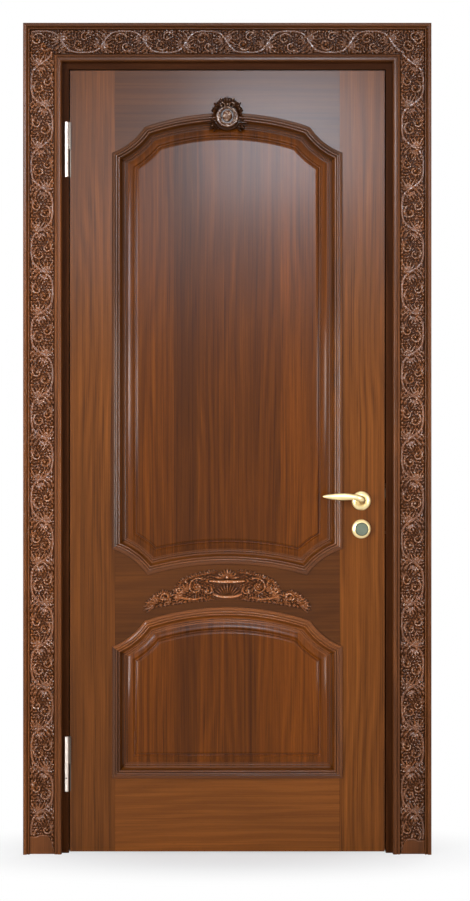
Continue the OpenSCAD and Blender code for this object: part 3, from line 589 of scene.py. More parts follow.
def vine_bay(at, length, half):
    """One bay of the vine: the stem round its edge, two scrolls, a tulip, leaves and berries.

    Points run along the casing and towards the edge that the stem follows, from the bay's middle.
    """
    k = half / BAY_HALF
    p = at / k
    m = length / k / BAY_LENGTH
    u = np.linspace(-0.66, 0.66, 45) * length / k
    bend = np.tanh(1.8 * np.cos(np.pi * u * k / length)) / math.tanh(1.8)
    stem = np.stack([u, 27.0 * bend], 1)
    forms = [
        rib(p, stem, np.full(len(u), 3.8), np.full(len(u), 6.2), 0.34),
        # scroll along the stem, with its eye and leaves
        curl(p, (-11 * m, 6.5), 20, 330, 17.5, 5.6, 3.3, 8.8, 0.34),
        bead(p, (-11 * m, 6.5), 3.9, 9.4),
        fan(p, (-11 * m, 6.5), 92, 20.5, 2.2, 7.4, 4, 62, start=0.78),
        # hook that turns from the opposite edge, with its leaf
        curl(p, (5 * m, -12), -48, -300, 13.5, 4.6, 3.2, 9.0, 0.34),
        bead(p, (5 * m, -12), 3.6, 9.4),
        fan(p, (10 * m, -21), -22, 19, 3.0, 9.0, 3, 36),
        # leaf that falls from the stem's entry
        fan(p, (45 * m, 5), 188, 26, 3.2, 9.2, 4, 36),
        fan(p, (24 * m, 13), 150, 9, 2.3, 7.4, 2, 24),
        # tulip and its sepals
        fan(p, (-62 * m, -11), 2, 34, 3.3, 9.8, 4, 27, fall=-0.12),
        fan(p, (-62 * m, -11), 2, 22, 2.6, 9.0, 3, 13, start=0.4),
        fan(p, (-58 * m, -8), 62, 14, 2.4, 8.0, 2, 20),
        fan(p, (-60 * m, -15), -58, 13, 2.4, 8.0, 2, 20),
        bead(p, (-63 * m, -11), 4.0, 9.0),
        # leaf between scroll and tulip
        fan(p, (-30 * m, 10), -172, 15, 2.4, 8.0, 3, 34),
        fan(p, (-22 * m, -6), -120, 12, 2.3, 7.6, 3, 46),
    ]
    for u0, v0, turn in TIPS:
        d = heading(math.radians(turn))
        root = np.array([u0 * m, v0])
        forms.append(lobe(p, root - 1.0 * d, root + 9.0 * d, 3.1, 8.8, 0.0, 0.22))
    for b in range(5):
        forms.append(bead(p, ((-8 - 9.4 * b) * m, -26.6 + 1.2 * (b % 2)), 3.5, 7.4))
    forms.append(scatter(
        p, (-56 * m, -29), (56 * m, 30), 7.4,
        lambda q: math.atan2(q[1] + 2, q[0] + 4) + 0.7, 7.0, 5,
    ))
    return np.maximum.reduce([np.full(len(p), 0.4), *forms])


def vine(along, across, first, last, wave, half):
    """Heights of the vine over points of a casing, from its first to its last crest."""
    count = max(4, round((last - first) / wave))
    length = (last - first) / count
    top = np.zeros(len(along))
    for n in range(count + 1):
        near = np.abs(along - first - n * length) < 0.70 * length
        side = 1 if n % 2 == 0 else -1
        at = np.stack([along[near] - first - n * length, side * across[near]], 1)
        top[near] = np.maximum(top[near], vine_bay(at, length, half))
    return top


def round_off(centre, radius, first, last, count=9):
    """Points of a rounded edge about a centre, from its first to its last angle in degrees."""
    turn = np.radians(np.linspace(first, last, count))
    return [(centre[0] + radius * math.cos(t), centre[1] + radius * math.sin(t)) for t in turn]


# Width and thickness of the casing; edges, middle, half width and ground of its carved band; in millimetres
CASING_WIDTH, CASING_THICK = (CASING_OUT - CASING_IN) / MM, (LEAF_FACE - CASING_FRONT) / MM
BAND_IN, BAND_OUT = 0.19 * CASING_WIDTH, 0.83 * CASING_WIDTH
BAND_MID, BAND_HALF = (BAND_IN + BAND_OUT) / 2, (BAND_OUT - BAND_IN) / 2
GROUND = CASING_THICK - 11
# How far the edge of the carved band, the plane that closes it and the floor under it lie below its ground
EDGE_SINK, PLANE_SINK, FLOOR_SINK = 0.6, 0.7, 0.8

# Section of the casing: distance from its inner edge and height over its front, in millimetres
FLOOR = GROUND - FLOOR_SINK - CASING_THICK
CASING_SECTION = (
    (0, -CASING_THICK), *round_off((5.0, -9.0), 5.0, 180, 90),
    (8.4, -4.0), *round_off((8.8, -5.0), 1.0, 80, 0, 5), (10.2, -7.8), (11.4, -7.8),
    (11.8, -5.6), (12.4, -5.0), (17.4, -5.6), (BAND_IN - 0.2, -8.0),
    (BAND_IN, FLOOR), (BAND_OUT, FLOOR),
    (BAND_OUT + 0.2, -6.6), *round_off((BAND_OUT + 1.9, -3.8), 1.7, 180, 0),
    (BAND_OUT + 3.9, -6.2), (BAND_OUT + 5.0, -6.9), (BAND_OUT + 6.2, -6.4), (BAND_OUT + 7.2, -4.4),
    *round_off((BAND_OUT + 9.2, -2.6), 2.0, 180, 90, 6), (BAND_OUT + 10.4, -0.4), (CASING_WIDTH - 4.4, -0.1),
    *round_off((CASING_WIDTH - 3.6, -3.6), 3.6, 90, 0), (CASING_WIDTH, -CASING_THICK),
)


def cut(piece, point, normal):
    """Cuts a piece with a plane and keeps what lies behind it, open."""
    with editing(piece, "SELECT"):
        bpy.ops.mesh.bisect(
            plane_co=point, plane_no=normal, use_fill=False, clear_inner=False, clear_outer=True
        )


def skirt(piece, depth):
    """Draws the open edges of a piece back to a plane."""
    with editing(piece, "DESELECT", "EDGE"):
        pick_open_edges()
        bpy.ops.mesh.extrude_edges_move(TRANSFORM_OT_translate={"value": (0, 0, 0)})
    drawn = np.zeros(len(piece.data.vertices), bool)
    piece.data.vertices.foreach_get("select", drawn)
    at = points(piece)
    at[drawn, 1] = depth
    move_points(piece, at)


def close(piece):
    """Fills the open edges of a piece and turns its faces outwards."""
    with editing(piece, "DESELECT", "EDGE"):
        pick_open_edges()
        bpy.ops.mesh.fill_holes(sides=0)
        bpy.ops.mesh.select_all(action="SELECT")
        bpy.ops.mesh.normals_make_consistent(inside=False)


# Upper edge of the plain foot of a casing leg over its height, from its inner to its outer side
FOOT_EDGE = ((-1, -36), (-0.76, -12), (-0.55, 1), (-0.42, 5), (0.2, 5), (0.4, 1), (1, 0.6))
# Height of a foot over the ground, slope at its edge, and width and height of its rim, in millimetres
FOOT_RISE, FOOT_SLOPE, RIM_WIDTH, RIM_RISE = 5.4, 1.5, 4.0, 1.1


def foot_edge(across):
    """Upper edge of a foot at distances from the middle of the band."""
    return np.interp(across / BAND_HALF, *np.array(FOOT_EDGE, float).T)


def casing_piece(name, node, span, place, cuts, crests, foot, materials):
    """A length of casing: its moulded section and its carved band, cut at its mitres.

    The vine runs from its first to its last crest, and a leg stands on a plain foot of a given height.
    """
    carving = bpy.context.scene.door_carving
    start, end = span
    rings = [
        np.array([place(run, w, CASING_THICK + h) for w, h in CASING_SECTION]) * MM
        for run in np.linspace(start, end, 9)
    ]
    rail = lofted(name + "_section", rings)
    cell = carving.cell / MM
    sheet, share = grid(name, round((end - start) / cell), round(2 * BAND_HALF / cell))
    along = start + share[:, 0] * (end - start)
    across = (2 * share[:, 1] - 1) * BAND_HALF
    lift = vine(along, across, *crests, carving.wave / MM, BAND_HALF) * carving.relief / MM / BAY_RELIEF
    if foot is not None:
        under = foot + foot_edge(across) - along
        block = FOOT_RISE * np.clip(under / FOOT_SLOPE, 0, 1) ** 0.5
        lift = np.where(under > -1, block + np.where(under < RIM_WIDTH, RIM_RISE, 0), lift)
    high = GROUND + lift
    edge = (np.abs(across) > BAND_HALF - 0.5 * cell) | (along < start + 0.5 * cell)
    high[edge] = GROUND - EDGE_SINK
    move_points(sheet, np.array(place(along, across + BAND_MID, high)).T * MM)
    for point, normal in cuts:
        cut(sheet, point, normal)
        cut(rail, point, normal)
    skirt(sheet, LEAF_FACE - (GROUND - PLANE_SINK) * MM)
    close(rail)
    close(sheet)
    for part, finish in ((sheet, materials), (rail, materials[1:])):
        for material in finish:
            part.data.materials.append(material)
    if foot is not None:
        middles = np.zeros(len(sheet.data.polygons) * 3)
        sheet.data.polygons.foreach_get("center", middles)
        x, _, z = middles.reshape(-1, 3).T / MM
        under = foot + foot_edge(np.abs(x) - CASING_IN / MM - BAND_MID) - z
        sheet.data.polygons.foreach_set("material_index", (under > RIM_WIDTH + 0.2).astype(int))
    piece = joined(name, [sheet, rail])
    return settle(piece, "frame", "casing_wood", None, node)


def carved_plate(name, low, high, lift, base, cell):
    """A carved piece on the front of the leaf: kept where it stands above its seat, and closed.

    It covers a region of the front view, counted from the middle of the leaf and from a base height.
    """
    low, high = np.array(low), np.array(high)
    columns, rows = np.rint((high - low) / cell).astype(int)
    piece, share = grid(name, int(columns), int(rows))
    at = low + share * (high - low)
    seat, top = lift(at)
    inside = top > np.maximum(seat, 0) + 0.05
    height = np.where(inside, top, seat)
    move_points(piece, np.stack([at[:, 0], LEAF_FACE / MM - height, base + at[:, 1]], 1) * MM)
    corners = np.zeros(len(piece.data.polygons) * 4, int)
    piece.data.polygons.foreach_get("vertices", corners)
    pick_faces(piece, ~inside[corners.reshape(-1, 4)].any(1))
    with editing(piece, kind="FACE"):
        bpy.ops.mesh.delete(type="FACE")
    close(piece)
    return piece


def over_leaf(low, high):
    """Two heights over the face of the leaf, in millimetres, as distances before its middle in metres."""
    return -LEAF_FACE + low * MM, -LEAF_FACE + high * MM


# Length of the rails' ends inside the stiles, and radius of a hinge barrel, in metres
RAIL_END = 0.0115
BARREL = 0.0063


class DOOR_OT_timber(bpy.types.Operator):
    """Finish the boards of the leaf and the jambs in lacquered timber"""

    bl_idname = "door.timber"
    bl_label = "Timber"

    def execute(self, context):
        tones = context.scene.door_timber
        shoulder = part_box("top_rail")[1].x - RAIL_END
        shoulders = (("X", -shoulder), ("X", shoulder))
        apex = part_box("upper_head_front")[1].z
        for node, along, tone, gloss, joints, seed in (
            ("hinge_stile", "Z", 0.87, PLAIN, (), 0.0),
            ("lock_stile", "Z", 0.92, SATIN, (), 3.1),
            ("top_rail", "X", 0.54, PLAIN, (*shoulders, ("Z", apex)), 5.0),
            ("lock_rail", "X", 0.55, PLAIN, shoulders, 8.0),
            ("bottom_rail", "X", 1.19, PLAIN, shoulders, 9.4),
        ):
            board = timber(node + "_timber", along, shade(tones.leaf, tone), gloss, joints, seed=seed)
            dress(board, node)
        # The jambs take their dark tone, which is painted shade for the reveal
        dress(timber("jamb_timber", "Z", tones.jamb, DULL), "hinge_jamb", "lock_jamb")
        dress(timber("head_jamb_timber", "X", tones.jamb, DULL), "head_jamb")
        return {"FINISHED"}


class DOOR_OT_metal(bpy.types.Operator):
    """Finish the lock, hinges and handles in metal, and the seal in rubber"""

    bl_idname = "door.metal"
    bl_label = "Metal and seal"

    def execute(self, context):
        tones = context.scene.door_metal
        dress(
            metal("polished_brass", tuple(tones.brass), 0.13),
            "strike_plate", "faceplate", "release_disc",
        )
        dress(metal("dark_bronze", shade(tones.brass, 0.10), 0.45, "X"), "latch_bolt", "dead_bolt")
        dress(metal("satin_knob", tuple(tones.knob), 0.38, wear=0.10), "turn_knob")
        # The hinge flaps beside the barrels are painted dark as shade
        low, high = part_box("upper_hinge_pin")
        barrel = (low.x + high.x) / 2, BARREL, LEAF_FACE - 0.0006
        dress(
            metal("satin_nickel", tuple(tones.nickel), 0.30, "Z", painted_shade_beside=barrel),
            "upper_hinge_jamb_half", "upper_hinge_leaf_half",
            "lower_hinge_jamb_half", "lower_hinge_leaf_half",
        )
        dress(
            metal("zinc_steel", tuple(tones.steel), 0.40, "X"),
            "upper_hinge_pin", "lower_hinge_pin", "lock_case", "lever_follower",
            "turn_follower", "square_spindle", "turn_spindle",
        )
        dress(rubber("dark_seal", (0.018, 0.012, 0.009)), "frame_seal")
        return {"FINISHED"}


# Outlines of both panels' mouldings in the front view: apex and rise of the arch, foot, and apex and rise of
# a curved sill, in millimetres; with the tone of the panel
PANELS = {
    "upper": {"apex": 1895, "rise": 36, "foot": 779, "sill": 740, "sill_rise": 28, "tone": 0.66},
    "lower": {"apex": 630, "rise": 35, "foot": 192, "tone": 0.80},
}
# Half width of the outline, of the arch and of the sill, drop of the shoulders and radius of the scoops
SIDE, ARCH, SILL, DROP, SCOOP = 295, 212, 204, 66, 170
MIRROR = np.array([-1.0, 1.0])


def arc_radius(half, rise):
    return (half * half + rise * rise) / (2 * rise)


def centre_of(p, q, r, side):
    """Centre of the circle of a radius through two points."""
    p, q = np.array(p, float), np.array(q, float)
    d = q - p
    reach = np.hypot(*d)
    return (p + q) / 2 + side * math.sqrt(r * r - reach * reach / 4) * np.array([-d[1], d[0]]) / reach


def crossing(a, ra, b, rb):
    """The left-hand crossing of two circles."""
    d = np.hypot(*(b - a))
    u = (b - a) / d
    k = (ra * ra - rb * rb + d * d) / (2 * d)
    return a + k * u + math.sqrt(ra * ra - k * k) * np.array([-u[1], u[0]])


def arc(centre, p, q, count):
    """Points on a circle from p to q, the short way."""
    p, q = np.array(p, float) - centre, np.array(q, float) - centre
    first = math.atan2(p[1], p[0])
    sweep = (math.atan2(q[1], q[0]) - first + math.pi) % (2 * math.pi) - math.pi
    turn = first + sweep * np.linspace(0, 1, count)
    return centre + np.hypot(*p) * np.stack([np.cos(turn), np.sin(turn)], 1)


def half_outline(panel, d):
    """The left half of a panel's outline moved in by d: its head, side and foot, from top to bottom."""
    apex, rise, foot = panel["apex"], panel["rise"], panel["foot"]
    arch_r = arc_radius(ARCH, rise)
    arch_c = np.array([0.0, apex - arch_r])
    tip, end = (-SIDE, apex - rise - DROP), (-ARCH, apex - rise)
    shoulder_c = centre_of(tip, end, SCOOP, 1)
    x = -SIDE + d
    high = crossing(shoulder_c, SCOOP + d, arch_c, arch_r - d)
    side = np.array([x, shoulder_c[1] - math.sqrt((SCOOP + d) ** 2 - (x - shoulder_c[0]) ** 2)])
    head = np.vstack([arc(arch_c, (0, apex - d), high, 21), arc(shoulder_c, high, side, 15)[1:]])
    if "sill" not in panel:
        low = np.array([x, foot + d])
        return head, np.array([side, low]), np.array([low, [0, foot + d]])
    tip, end = (-SIDE, foot), (-SILL, panel["sill"] - panel["sill_rise"])
    scoop_c = centre_of(tip, end, SCOOP, -1)
    foot_r = arc_radius(SILL, panel["sill_rise"])
    foot_c = np.array([0.0, panel["sill"] - foot_r])
    low = np.array([x, scoop_c[1] + math.sqrt((SCOOP + d) ** 2 - (x - scoop_c[0]) ** 2)])
    corner = crossing(scoop_c, SCOOP + d, foot_c, foot_r + d)
    base = np.vstack([arc(scoop_c, low, corner, 15), arc(foot_c, corner, (0, panel["sill"] + d), 21)[1:]])
    return head, np.array([side, low]), base


# Section of a moulding that falls to the panel by a sloping fillet, two beads, a cove and a fine lip:
# distance from the outer edge and height over the leaf, in millimetres
MOULDING = (
    (0, 0), (0.2, 4.6), (0.7, 5.6), (1.6, 6.2), (4.5, 7.5), (7.4, 8.6), (8.0, 8.4), (8.4, 7.4),
    *round_off((11.8, 8.5), 3.0, 190, 0, 17), (15.1, 6.6), *round_off((18.1, 6.2), 2.6, 175, -10, 13),
    *round_off((36.5, 5.6), 14.8, 184, 252, 15), *round_off((33.6, -7.0), 1.7, 120, -20),
    (39, -7.4), (39, -10), (8, -10), (8, 0),
)


# Section of a panel from its field over the quirk and the bevel to the tongue: distance from the outer edge
# of the moulding and height over the middle of the leaf, in millimetres
PANEL = (
    (70.0, 21.5), (67.6, 21.5), (66.8, 21.35), (66.0, 21.15), (62.6, 20.1), (62.0, 19.2), (61.6, 17.2),
    (60.9, 15.2), (59.6, 14.4), (57.8, 14.4), (56.2, 15.4), (54.8, 17.2), (53.8, 17.9), (52.0, 17.75),
    (49.0, 17.2), (46.0, 16.45), (43.5, 15.65), (41.5, 14.9), (40.5, 14.5), (8.5, 14.5), (8.5, 6.0),
    (-3.0, 6.0),
)


class DOOR_OT_panels(bpy.types.Operator):
    """Make the raised panels with the quirk round their fields"""

    bl_idname = "door.panels"
    bl_label = "Panels"

    def execute(self, context):
        tone = context.scene.door_timber.panel
        section = [*PANEL, *((d, -h) for d, h in reversed(PANEL))]
        for name, panel in PANELS.items():
            material = timber(name + "_panel_timber", "Z", shade(tone, panel["tone"]), FIELD, staves=True)
            rings = []
            for d, h in section:
                head, _, foot = half_outline(panel, d)
                half = np.vstack([head, foot])
                loop = np.vstack([half, half[-2:0:-1] * MIRROR])
                rings.append(np.stack([loop[:, 0], np.full(len(loop), -h), loop[:, 1]], 1) * MM)
            piece = capped(name + "_panel_board", rings)
            settle(piece, "leaf", "panel_wood", material, name + "_panel")
        return {"FINISHED"}


class DOOR_OT_mouldings(bpy.types.Operator):
    """Run the smooth mouldings round both panels, on both faces"""

    bl_idname = "door.mouldings"
    bl_label = "Mouldings"

    def execute(self, context):
        tone = context.scene.door_timber.moulding
        # Painted light: the left moulding is darker and the right lighter, the upper arch darker and the
        # lower arch lighter, as lit and shaded copies of one tone; their coves get painted shade
        left, right, level, upper, lower = (
            timber(word + "_timber", along, shade(tone, value), GLOSSY, painted_shade_span=painted_shade_span, seed=seed)
            for word, along, value, painted_shade_span, seed in (
                ("left_moulding", "Z", 0.78, over_leaf(-12, 8), 1.7),
                ("right_moulding", "Z", 1.25, over_leaf(-12, 8), 1.7),
                ("level_moulding", "X", 1.1, None, 2.9),
                ("upper_arch", "X", 0.7, over_leaf(-12, 8), 2.9),
                ("lower_arch", "X", 1.6, None, 2.9),
            )
        )
        for name, panel in PANELS.items():
            runs = [half_outline(panel, d) for d, h in MOULDING]
            heads, sides, feet = (np.stack([run[n] for run in runs], 1) for n in range(3))
            paths = {
                "head": (np.vstack([heads[::-1], heads[1:] * MIRROR]), upper if name == "upper" else lower),
                "left": (sides, left),
                "right": (sides * MIRROR, right),
                "foot": (np.vstack([feet, feet[-2::-1] * MIRROR]), level),
            }
            for part, (path, material) in paths.items():
                for face, side, word in FACES:
                    height = np.broadcast_to([face + side * h for d, h in MOULDING], path.shape[:2])
                    rings = np.stack([path[..., 0], height, path[..., 1]], 2) * MM
                    node = f"{name}_{part}_{word}"
                    piece = capped(node + "_run", rings)
                    settle(piece, "leaf", "moulding_wood", material, node)
        return {"FINISHED"}


# Height of the first crest of the vine over the floor, in millimetres
VINE_START = 58.08
# Joint left at the mitres, in metres
MITRE_GAP = 0.00005


class DOOR_OT_casing(bpy.types.Operator):
    """Carve the three lengths of casing with a running vine"""

    bl_idname = "door.casing"
    bl_label = "Carved casing"

    def execute(self, context):
        tone = context.scene.door_timber.casing
        face, inner, outer = LEAF_FACE / MM, CASING_IN / MM, CASING_OUT / MM
        top, sill = CASING_TOP / MM, CASING_SILL / MM
        slope = math.sqrt(0.5)

        # Each finish gets painted shade in the hollows of its carving and painted highlights on its tops
        def finishes(word, along, value, seed):
            carved = timber(
                word + "_carved_timber", along, shade(tone, value), CARVED,
                painted_shade_span=over_leaf(15, 25), painted_highlight=0.6, seed=seed,
            )
            return carved, timber(word + "_casing_timber", along, shade(tone, 0.80 * value), PLAIN, seed=seed)

        # Painted light: the left leg is kept lighter than the right one, as lit and shaded copies of one tone
        for word, side, foot, value in (("left", -1, 46, 0.93), ("right", 1, 36, 0.72)):

            def leg(run, w, h, side=side):
                return side * (inner + w), face - h, run

            mitre = (side * CASING_IN, 0, CASING_SILL - MITRE_GAP), (-side * slope, 0, slope)
            casing_piece(
                f"casing_{word}_carved", "casing_" + word, (0.0, top), leg, [mitre],
                (VINE_START, sill + BAND_MID), foot, finishes(word, "Z", value, 4.0),
            )

        def head(run, w, h):
            return run, face - h, sill + w

        mitres = [
            ((side * (CASING_IN - MITRE_GAP), 0, CASING_SILL), (side * slope, 0, -slope)) for side in (-1, 1)
        ]
        # The head takes the darkest copy of the tone, as painted shade at the top
        casing_piece(
            "casing_head_carved", "casing_head", (-outer, outer), head, mitres,
            (-inner - BAND_MID, inner + BAND_MID), None, finishes("level", "X", 0.60, 6.0),
        )
        return {"FINISHED"}


# Leaves of the crest: base, angle, length, half width, height, lobes and spread
CREST_LEAVES = (
    ((0, 10), 90, 32, 3.9, 21.5, 3, 30), ((10, 12), 72, 27, 3.8, 20.0, 3, 34),
    ((19, 9), 48, 23, 3.8, 20.0, 3, 34), ((25, 1), 22, 17, 3.6, 19.5, 3, 40),
    ((27, -10), 2, 16, 3.4, 19.0, 3, 40), ((28, -24), -4, 24, 3.0, 18.5, 3, 26),
    ((22, -32), -20, 25, 3.0, 18.5, 3, 26),
)
# Beads of the crest: centre, radius and height
CREST_BEADS = (
    ((13, 19), 2.6, 23), ((0, 20), 4.4, 24), ((6, 31), 3.0, 22.5), ((14, 34), 2.8, 21.5),
    ((28, 17), 2.8, 21.0), ((35, 0), 2.8, 20.0), ((22, 25), 3.2, 20.5), ((31, 9), 3.2, 19.5),
    ((38, -17), 3.6, 19.0), ((38, -34), 3.4, 18.0),
)


def crest_lift(at):
    """Heights of the crest over the leaf: a cabochon in a rolled oval frame, under a crown of leaves."""
    x, h = at[:, 0], at[:, 1]
    side = np.stack([np.abs(x), h], 1)
    stone = np.hypot(x / 12.6, (h + 9.0) / 15.0)
    inner = np.hypot(x / 15.4, (h + 9.0) / 18.0)
    outer = np.hypot(x / 30.5, (h + 11.5) / 27.5)
    shield = np.hypot(x / 38, (h + 2) / 42)
    t = np.clip((inner - 1) / np.maximum(inner - outer, 1e-6), 0, 1)
    roll = 10 + 12 * np.sin(np.pi * t) ** 0.7 + 2.6 * np.sin(5 * np.pi * t) * np.sin(np.pi * t)
    top = np.maximum.reduce([
        np.where(stone < 1, 15 + 11 * np.sqrt(np.clip(1 - stone * stone, 0, 1)), 0),
        np.where((inner > 1) & (outer < 1), roll, 0),
        np.where((stone >= 1) & (inner <= 1), 11.0, 0),
        np.where(shield < 1, 8.5 - 4 * shield ** 4, 0),
        curl(side, (13, 19), 200, -300, 7.5, 3.2, 2.4, 22, 0.2),
        *(fan(side, *leaf) for leaf in CREST_LEAVES),
        *(bead(side, *berry) for berry in CREST_BEADS),
    ])
    return np.where(h > 0.5, -1.0, 3.0), top


def rail_foot(x):
    """Height of the lower edge of the rail carving over the bottom of its node, in millimetres."""
    return 18 - 27 * (x / 215) ** 2


# Upper edge of the rail carving over its lower edge, from the middle to the tip, in millimetres
RAIL_EDGE = (
    (0, 76), (40, 74), (70, 70), (104, 63), (122, 54), (134, 38), (144, 27), (154, 34), (166, 38),
    (186, 31), (204, 19), (214, 6),
)


def rail_lift(at):
    """Heights of the rail carving: a shell between scrolls, with leaves that run out to both ends."""
    x, h = np.abs(at[:, 0]), at[:, 1] - rail_foot(at[:, 0])
    side = np.stack([x, h], 1)
    edge = np.array(RAIL_EDGE, float)
    line = np.interp(x, edge[:, 0], edge[:, 1], right=0)
    plate = (h > 0) & (h < line - 9) & (x < 208)

    def flow(q):
        eye = (78, 36) if q[0] < 112 else (126, 26) if q[0] < 146 else (164, 20)
        return math.atan2(q[1] - eye[1], q[0] - eye[0]) + 0.7

    tips = scatter(side, (36, 2), (208, 74), 7.2, flow, 12.5, 3)
    forms = [
        np.where(plate, np.maximum(tips, 1.6), 0),
        # shell and its lip
        fan(side, (0, 0), 90, 42, 1.9, 15.0, 11, 62, fall=0.02, start=0.34),
        rib(side, [(0, 7), (14, 7.5), (27, 10), (37, 15)], [4.8, 4.6, 4.0, 2.6], [11, 11, 10.5, 9.5]),
        # band and bud over the shell
        rib(side, [(0, 46), (22, 46.5), (44, 49)], [4.8, 4.8, 3.0], [13, 13, 12]),
        lobe(side, (8, 54), (32, 58), 3.8, 16.0, 0.4),
        fan(side, (0, 54), 90, 25, 3.0, 15.5, 7, 62, fall=0.1),
        bead(side, (0, 57), 4.6, 17),
        bead(side, (10, 63), 3.4, 16),
        bead(side, (20, 66), 3.2, 15.5),
        # scrolls that hold the shell
        curl(side, (49, 25), 120, 280, 12, 4.0, 2.6, 13.5, 0.32),
        bead(side, (49, 25), 3.4, 14.5),
        fan(side, (42, 10), 300, 13, 2.8, 13.5, 3, 50),
        # great scroll, its flower and the leaves round it
        curl(side, (79, 37), 128, -330, 24, 9, 2.4, 14.0, 0.34, 44),
        flower(side, (79, 37), 9.5, 15.0, 6),
        fan(side, (79, 37), 60, 21, 2.6, 13.0, 5, 60, start=0.55),
        fan(side, (79, 37), 240, 21, 2.6, 13.0, 5, 60, start=0.55),
        bead(side, (52, 50), 4.0, 15.0),
        bead(side, (106, 53), 4.0, 14.5),
        # leaf that runs outwards below
        rib(side, [(60, 8), (84, 5), (108, 10), (132, 18)], [2.4, 3.0, 3.2, 2.6], [11, 13, 14, 13], 0.3),
        fan(side, (104, 22), 70, 30, 3.4, 14.5, 5, 40),
        fan(side, (110, 12), 26, 32, 3.4, 14.5, 5, 32),
        curl(side, (124, 34), 200, 300, 9.5, 3.6, 2.6, 14.5, 0.3),
        bead(side, (124, 34), 3.2, 15.5),
        # bump and tip at the end
        curl(side, (163, 21), 190, -310, 13, 4.2, 3.0, 14.5, 0.3),
        bead(side, (163, 21), 3.8, 15.5),
        fan(side, (140, 9), 8, 24, 3.2, 13.0, 4, 34),
        fan(side, (174, 12), 30, 26, 3.3, 13.5, 5, 40),
        fan(side, (180, 6), -2, 36, 3.3, 13.0, 4, 24),
    ]
    # leaf tips along the upper and the lower edge
    run = np.concatenate([[0], np.cumsum(np.hypot(*np.diff(edge, axis=0).T))])
    for n, t in enumerate(np.arange(34, run[-1] - 8, 11.5)):
        p = np.array([np.interp(t, run, edge[:, k]) for k in (0, 1)])
        q = np.array([np.interp(t + 2, run, edge[:, k]) for k in (0, 1)])
        turn = math.degrees(math.atan2(*(q - p)[::-1])) + 90 - 18
        d = heading(math.radians(turn))
        forms.append(fan(side, p - 9.5 * d, turn, 13.5 + 1.5 * (n % 2), 2.8, 13.5 + (n % 3), 3, 34))
    for n, u in enumerate(np.arange(52, 208, 10.5)):
        forms.append(fan(side, (u, 7), -66, 10.5, 2.8, 11.5 + (n % 3), 2, 22))
    return np.full(len(at), -1.0), np.maximum.reduce(forms)


class DOOR_OT_crest(bpy.types.Operator):
    """Carve the crest at the top of the upper panel"""

    bl_idname = "door.crest"
    bl_label = "Crest"

    def execute(self, context):
        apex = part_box("upper_head_front")[1].z / MM
        tone = shade(context.scene.door_timber.casing, 0.40)
        # The crest gets painted shade in its hollows and painted highlights with glints on its tops
        material = timber("crest_timber", "Z", tone, CARVED, painted_shade_span=over_leaf(8, 20), painted_highlight=0.4, seed=9.0)
        piece = carved_plate("crest_carved", (-50, -48), (50, 45), crest_lift, apex, 0.6)
        settle(piece, "leaf", "carved_wood", material, "crest")
        return {"FINISHED"}


class DOOR_OT_rail_carving(bpy.types.Operator):
    """Carve the shell and scrolls on the lock rail"""

    bl_idname = "door.rail_carving"
    bl_label = "Rail carving"

    def execute(self, context):
        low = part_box("rail_carving")[0].z / MM
        tone = shade(context.scene.door_timber.casing, 1.05)
        # The rail carving gets painted shade in its hollows and painted highlights with glints on its tops
        deep = over_leaf(4.0, 11.8)
        material = timber("rail_carving_timber", "X", tone, CARVED, painted_shade_span=deep, painted_highlight=0.9, seed=11.0)
        piece = carved_plate("rail_carving_carved", (-222, -16), (222, 100), rail_lift, low, 0.82)
        settle(piece, "leaf", "carved_wood", material, "rail_carving")
        return {"FINISHED"}


def turned(name, profile, centre, side, count=48):
    """A turned piece about Y from radii and heights over a plane, facing the given side."""
    x, y, z = centre
    turn = np.linspace(0, 2 * math.pi, count, endpoint=False)
    rings = [
        np.stack([x + r * np.cos(turn), np.full(count, y + side * h), z + r * np.sin(turn)], 1) * MM
        for r, h in profile
    ]
    return lofted(name, rings)


# Radii and heights of a rose, and of the lever along its middle line: place, half height, half depth
ROSE = (
    (0, 0), (24.5, 0), (24.5, 1.4), (24.2, 2.2), (23.4, 3.0), (21.6, 4.2), (19.0, 5.4), (16.4, 6.3),
    (14.2, 6.9), (13.6, 6.7), (13.1, 6.1), (12.4, 6.0), (11.8, 6.6), (11.0, 7.2), (0, 7.4),
)
LEVER = (
    ((343, 0.6, 902), 0, 0), ((343, 0.6, 902), 10.6, 10.6), ((343, 13, 902), 10.6, 10.6),
    ((343, 14.4, 902), 10.2, 10.2), ((343, 15.2, 902), 9.2, 9.2), ((343, 16.6, 902), 9.0, 9.0),
    ((343, 17.6, 902), 10.0, 10.0), ((343, 20, 902), 10.3, 10.3), ((343, 22.4, 902), 9.8, 9.8),
    ((343, 30, 902.2), 9.0, 9.0), ((343, 38, 903), 8.8, 8.8), ((342.6, 44, 904.6), 8.9, 8.9),
    ((340.4, 49.2, 907), 8.8, 8.8), ((336, 52.6, 909.4), 8.4, 8.2), ((329.6, 54.2, 911.4), 7.8, 7.4),
    ((321, 54.8, 912.6), 7.7, 6.7), ((310, 55, 913.2), 8.5, 6.1), ((298, 54.6, 913.5), 9.2, 5.7),
    ((286, 54, 913.5), 9.0, 5.3), ((274, 53.2, 913.5), 8.0, 4.9), ((263, 52.4, 913.6), 6.6, 4.4),
    ((254, 51.6, 913.8), 5.0, 3.8), ((247.6, 51, 914), 3.4, 3.0), ((243.6, 50.6, 914.2), 1.9, 1.9),
    ((241.8, 50.4, 914.3), 0, 0),
)


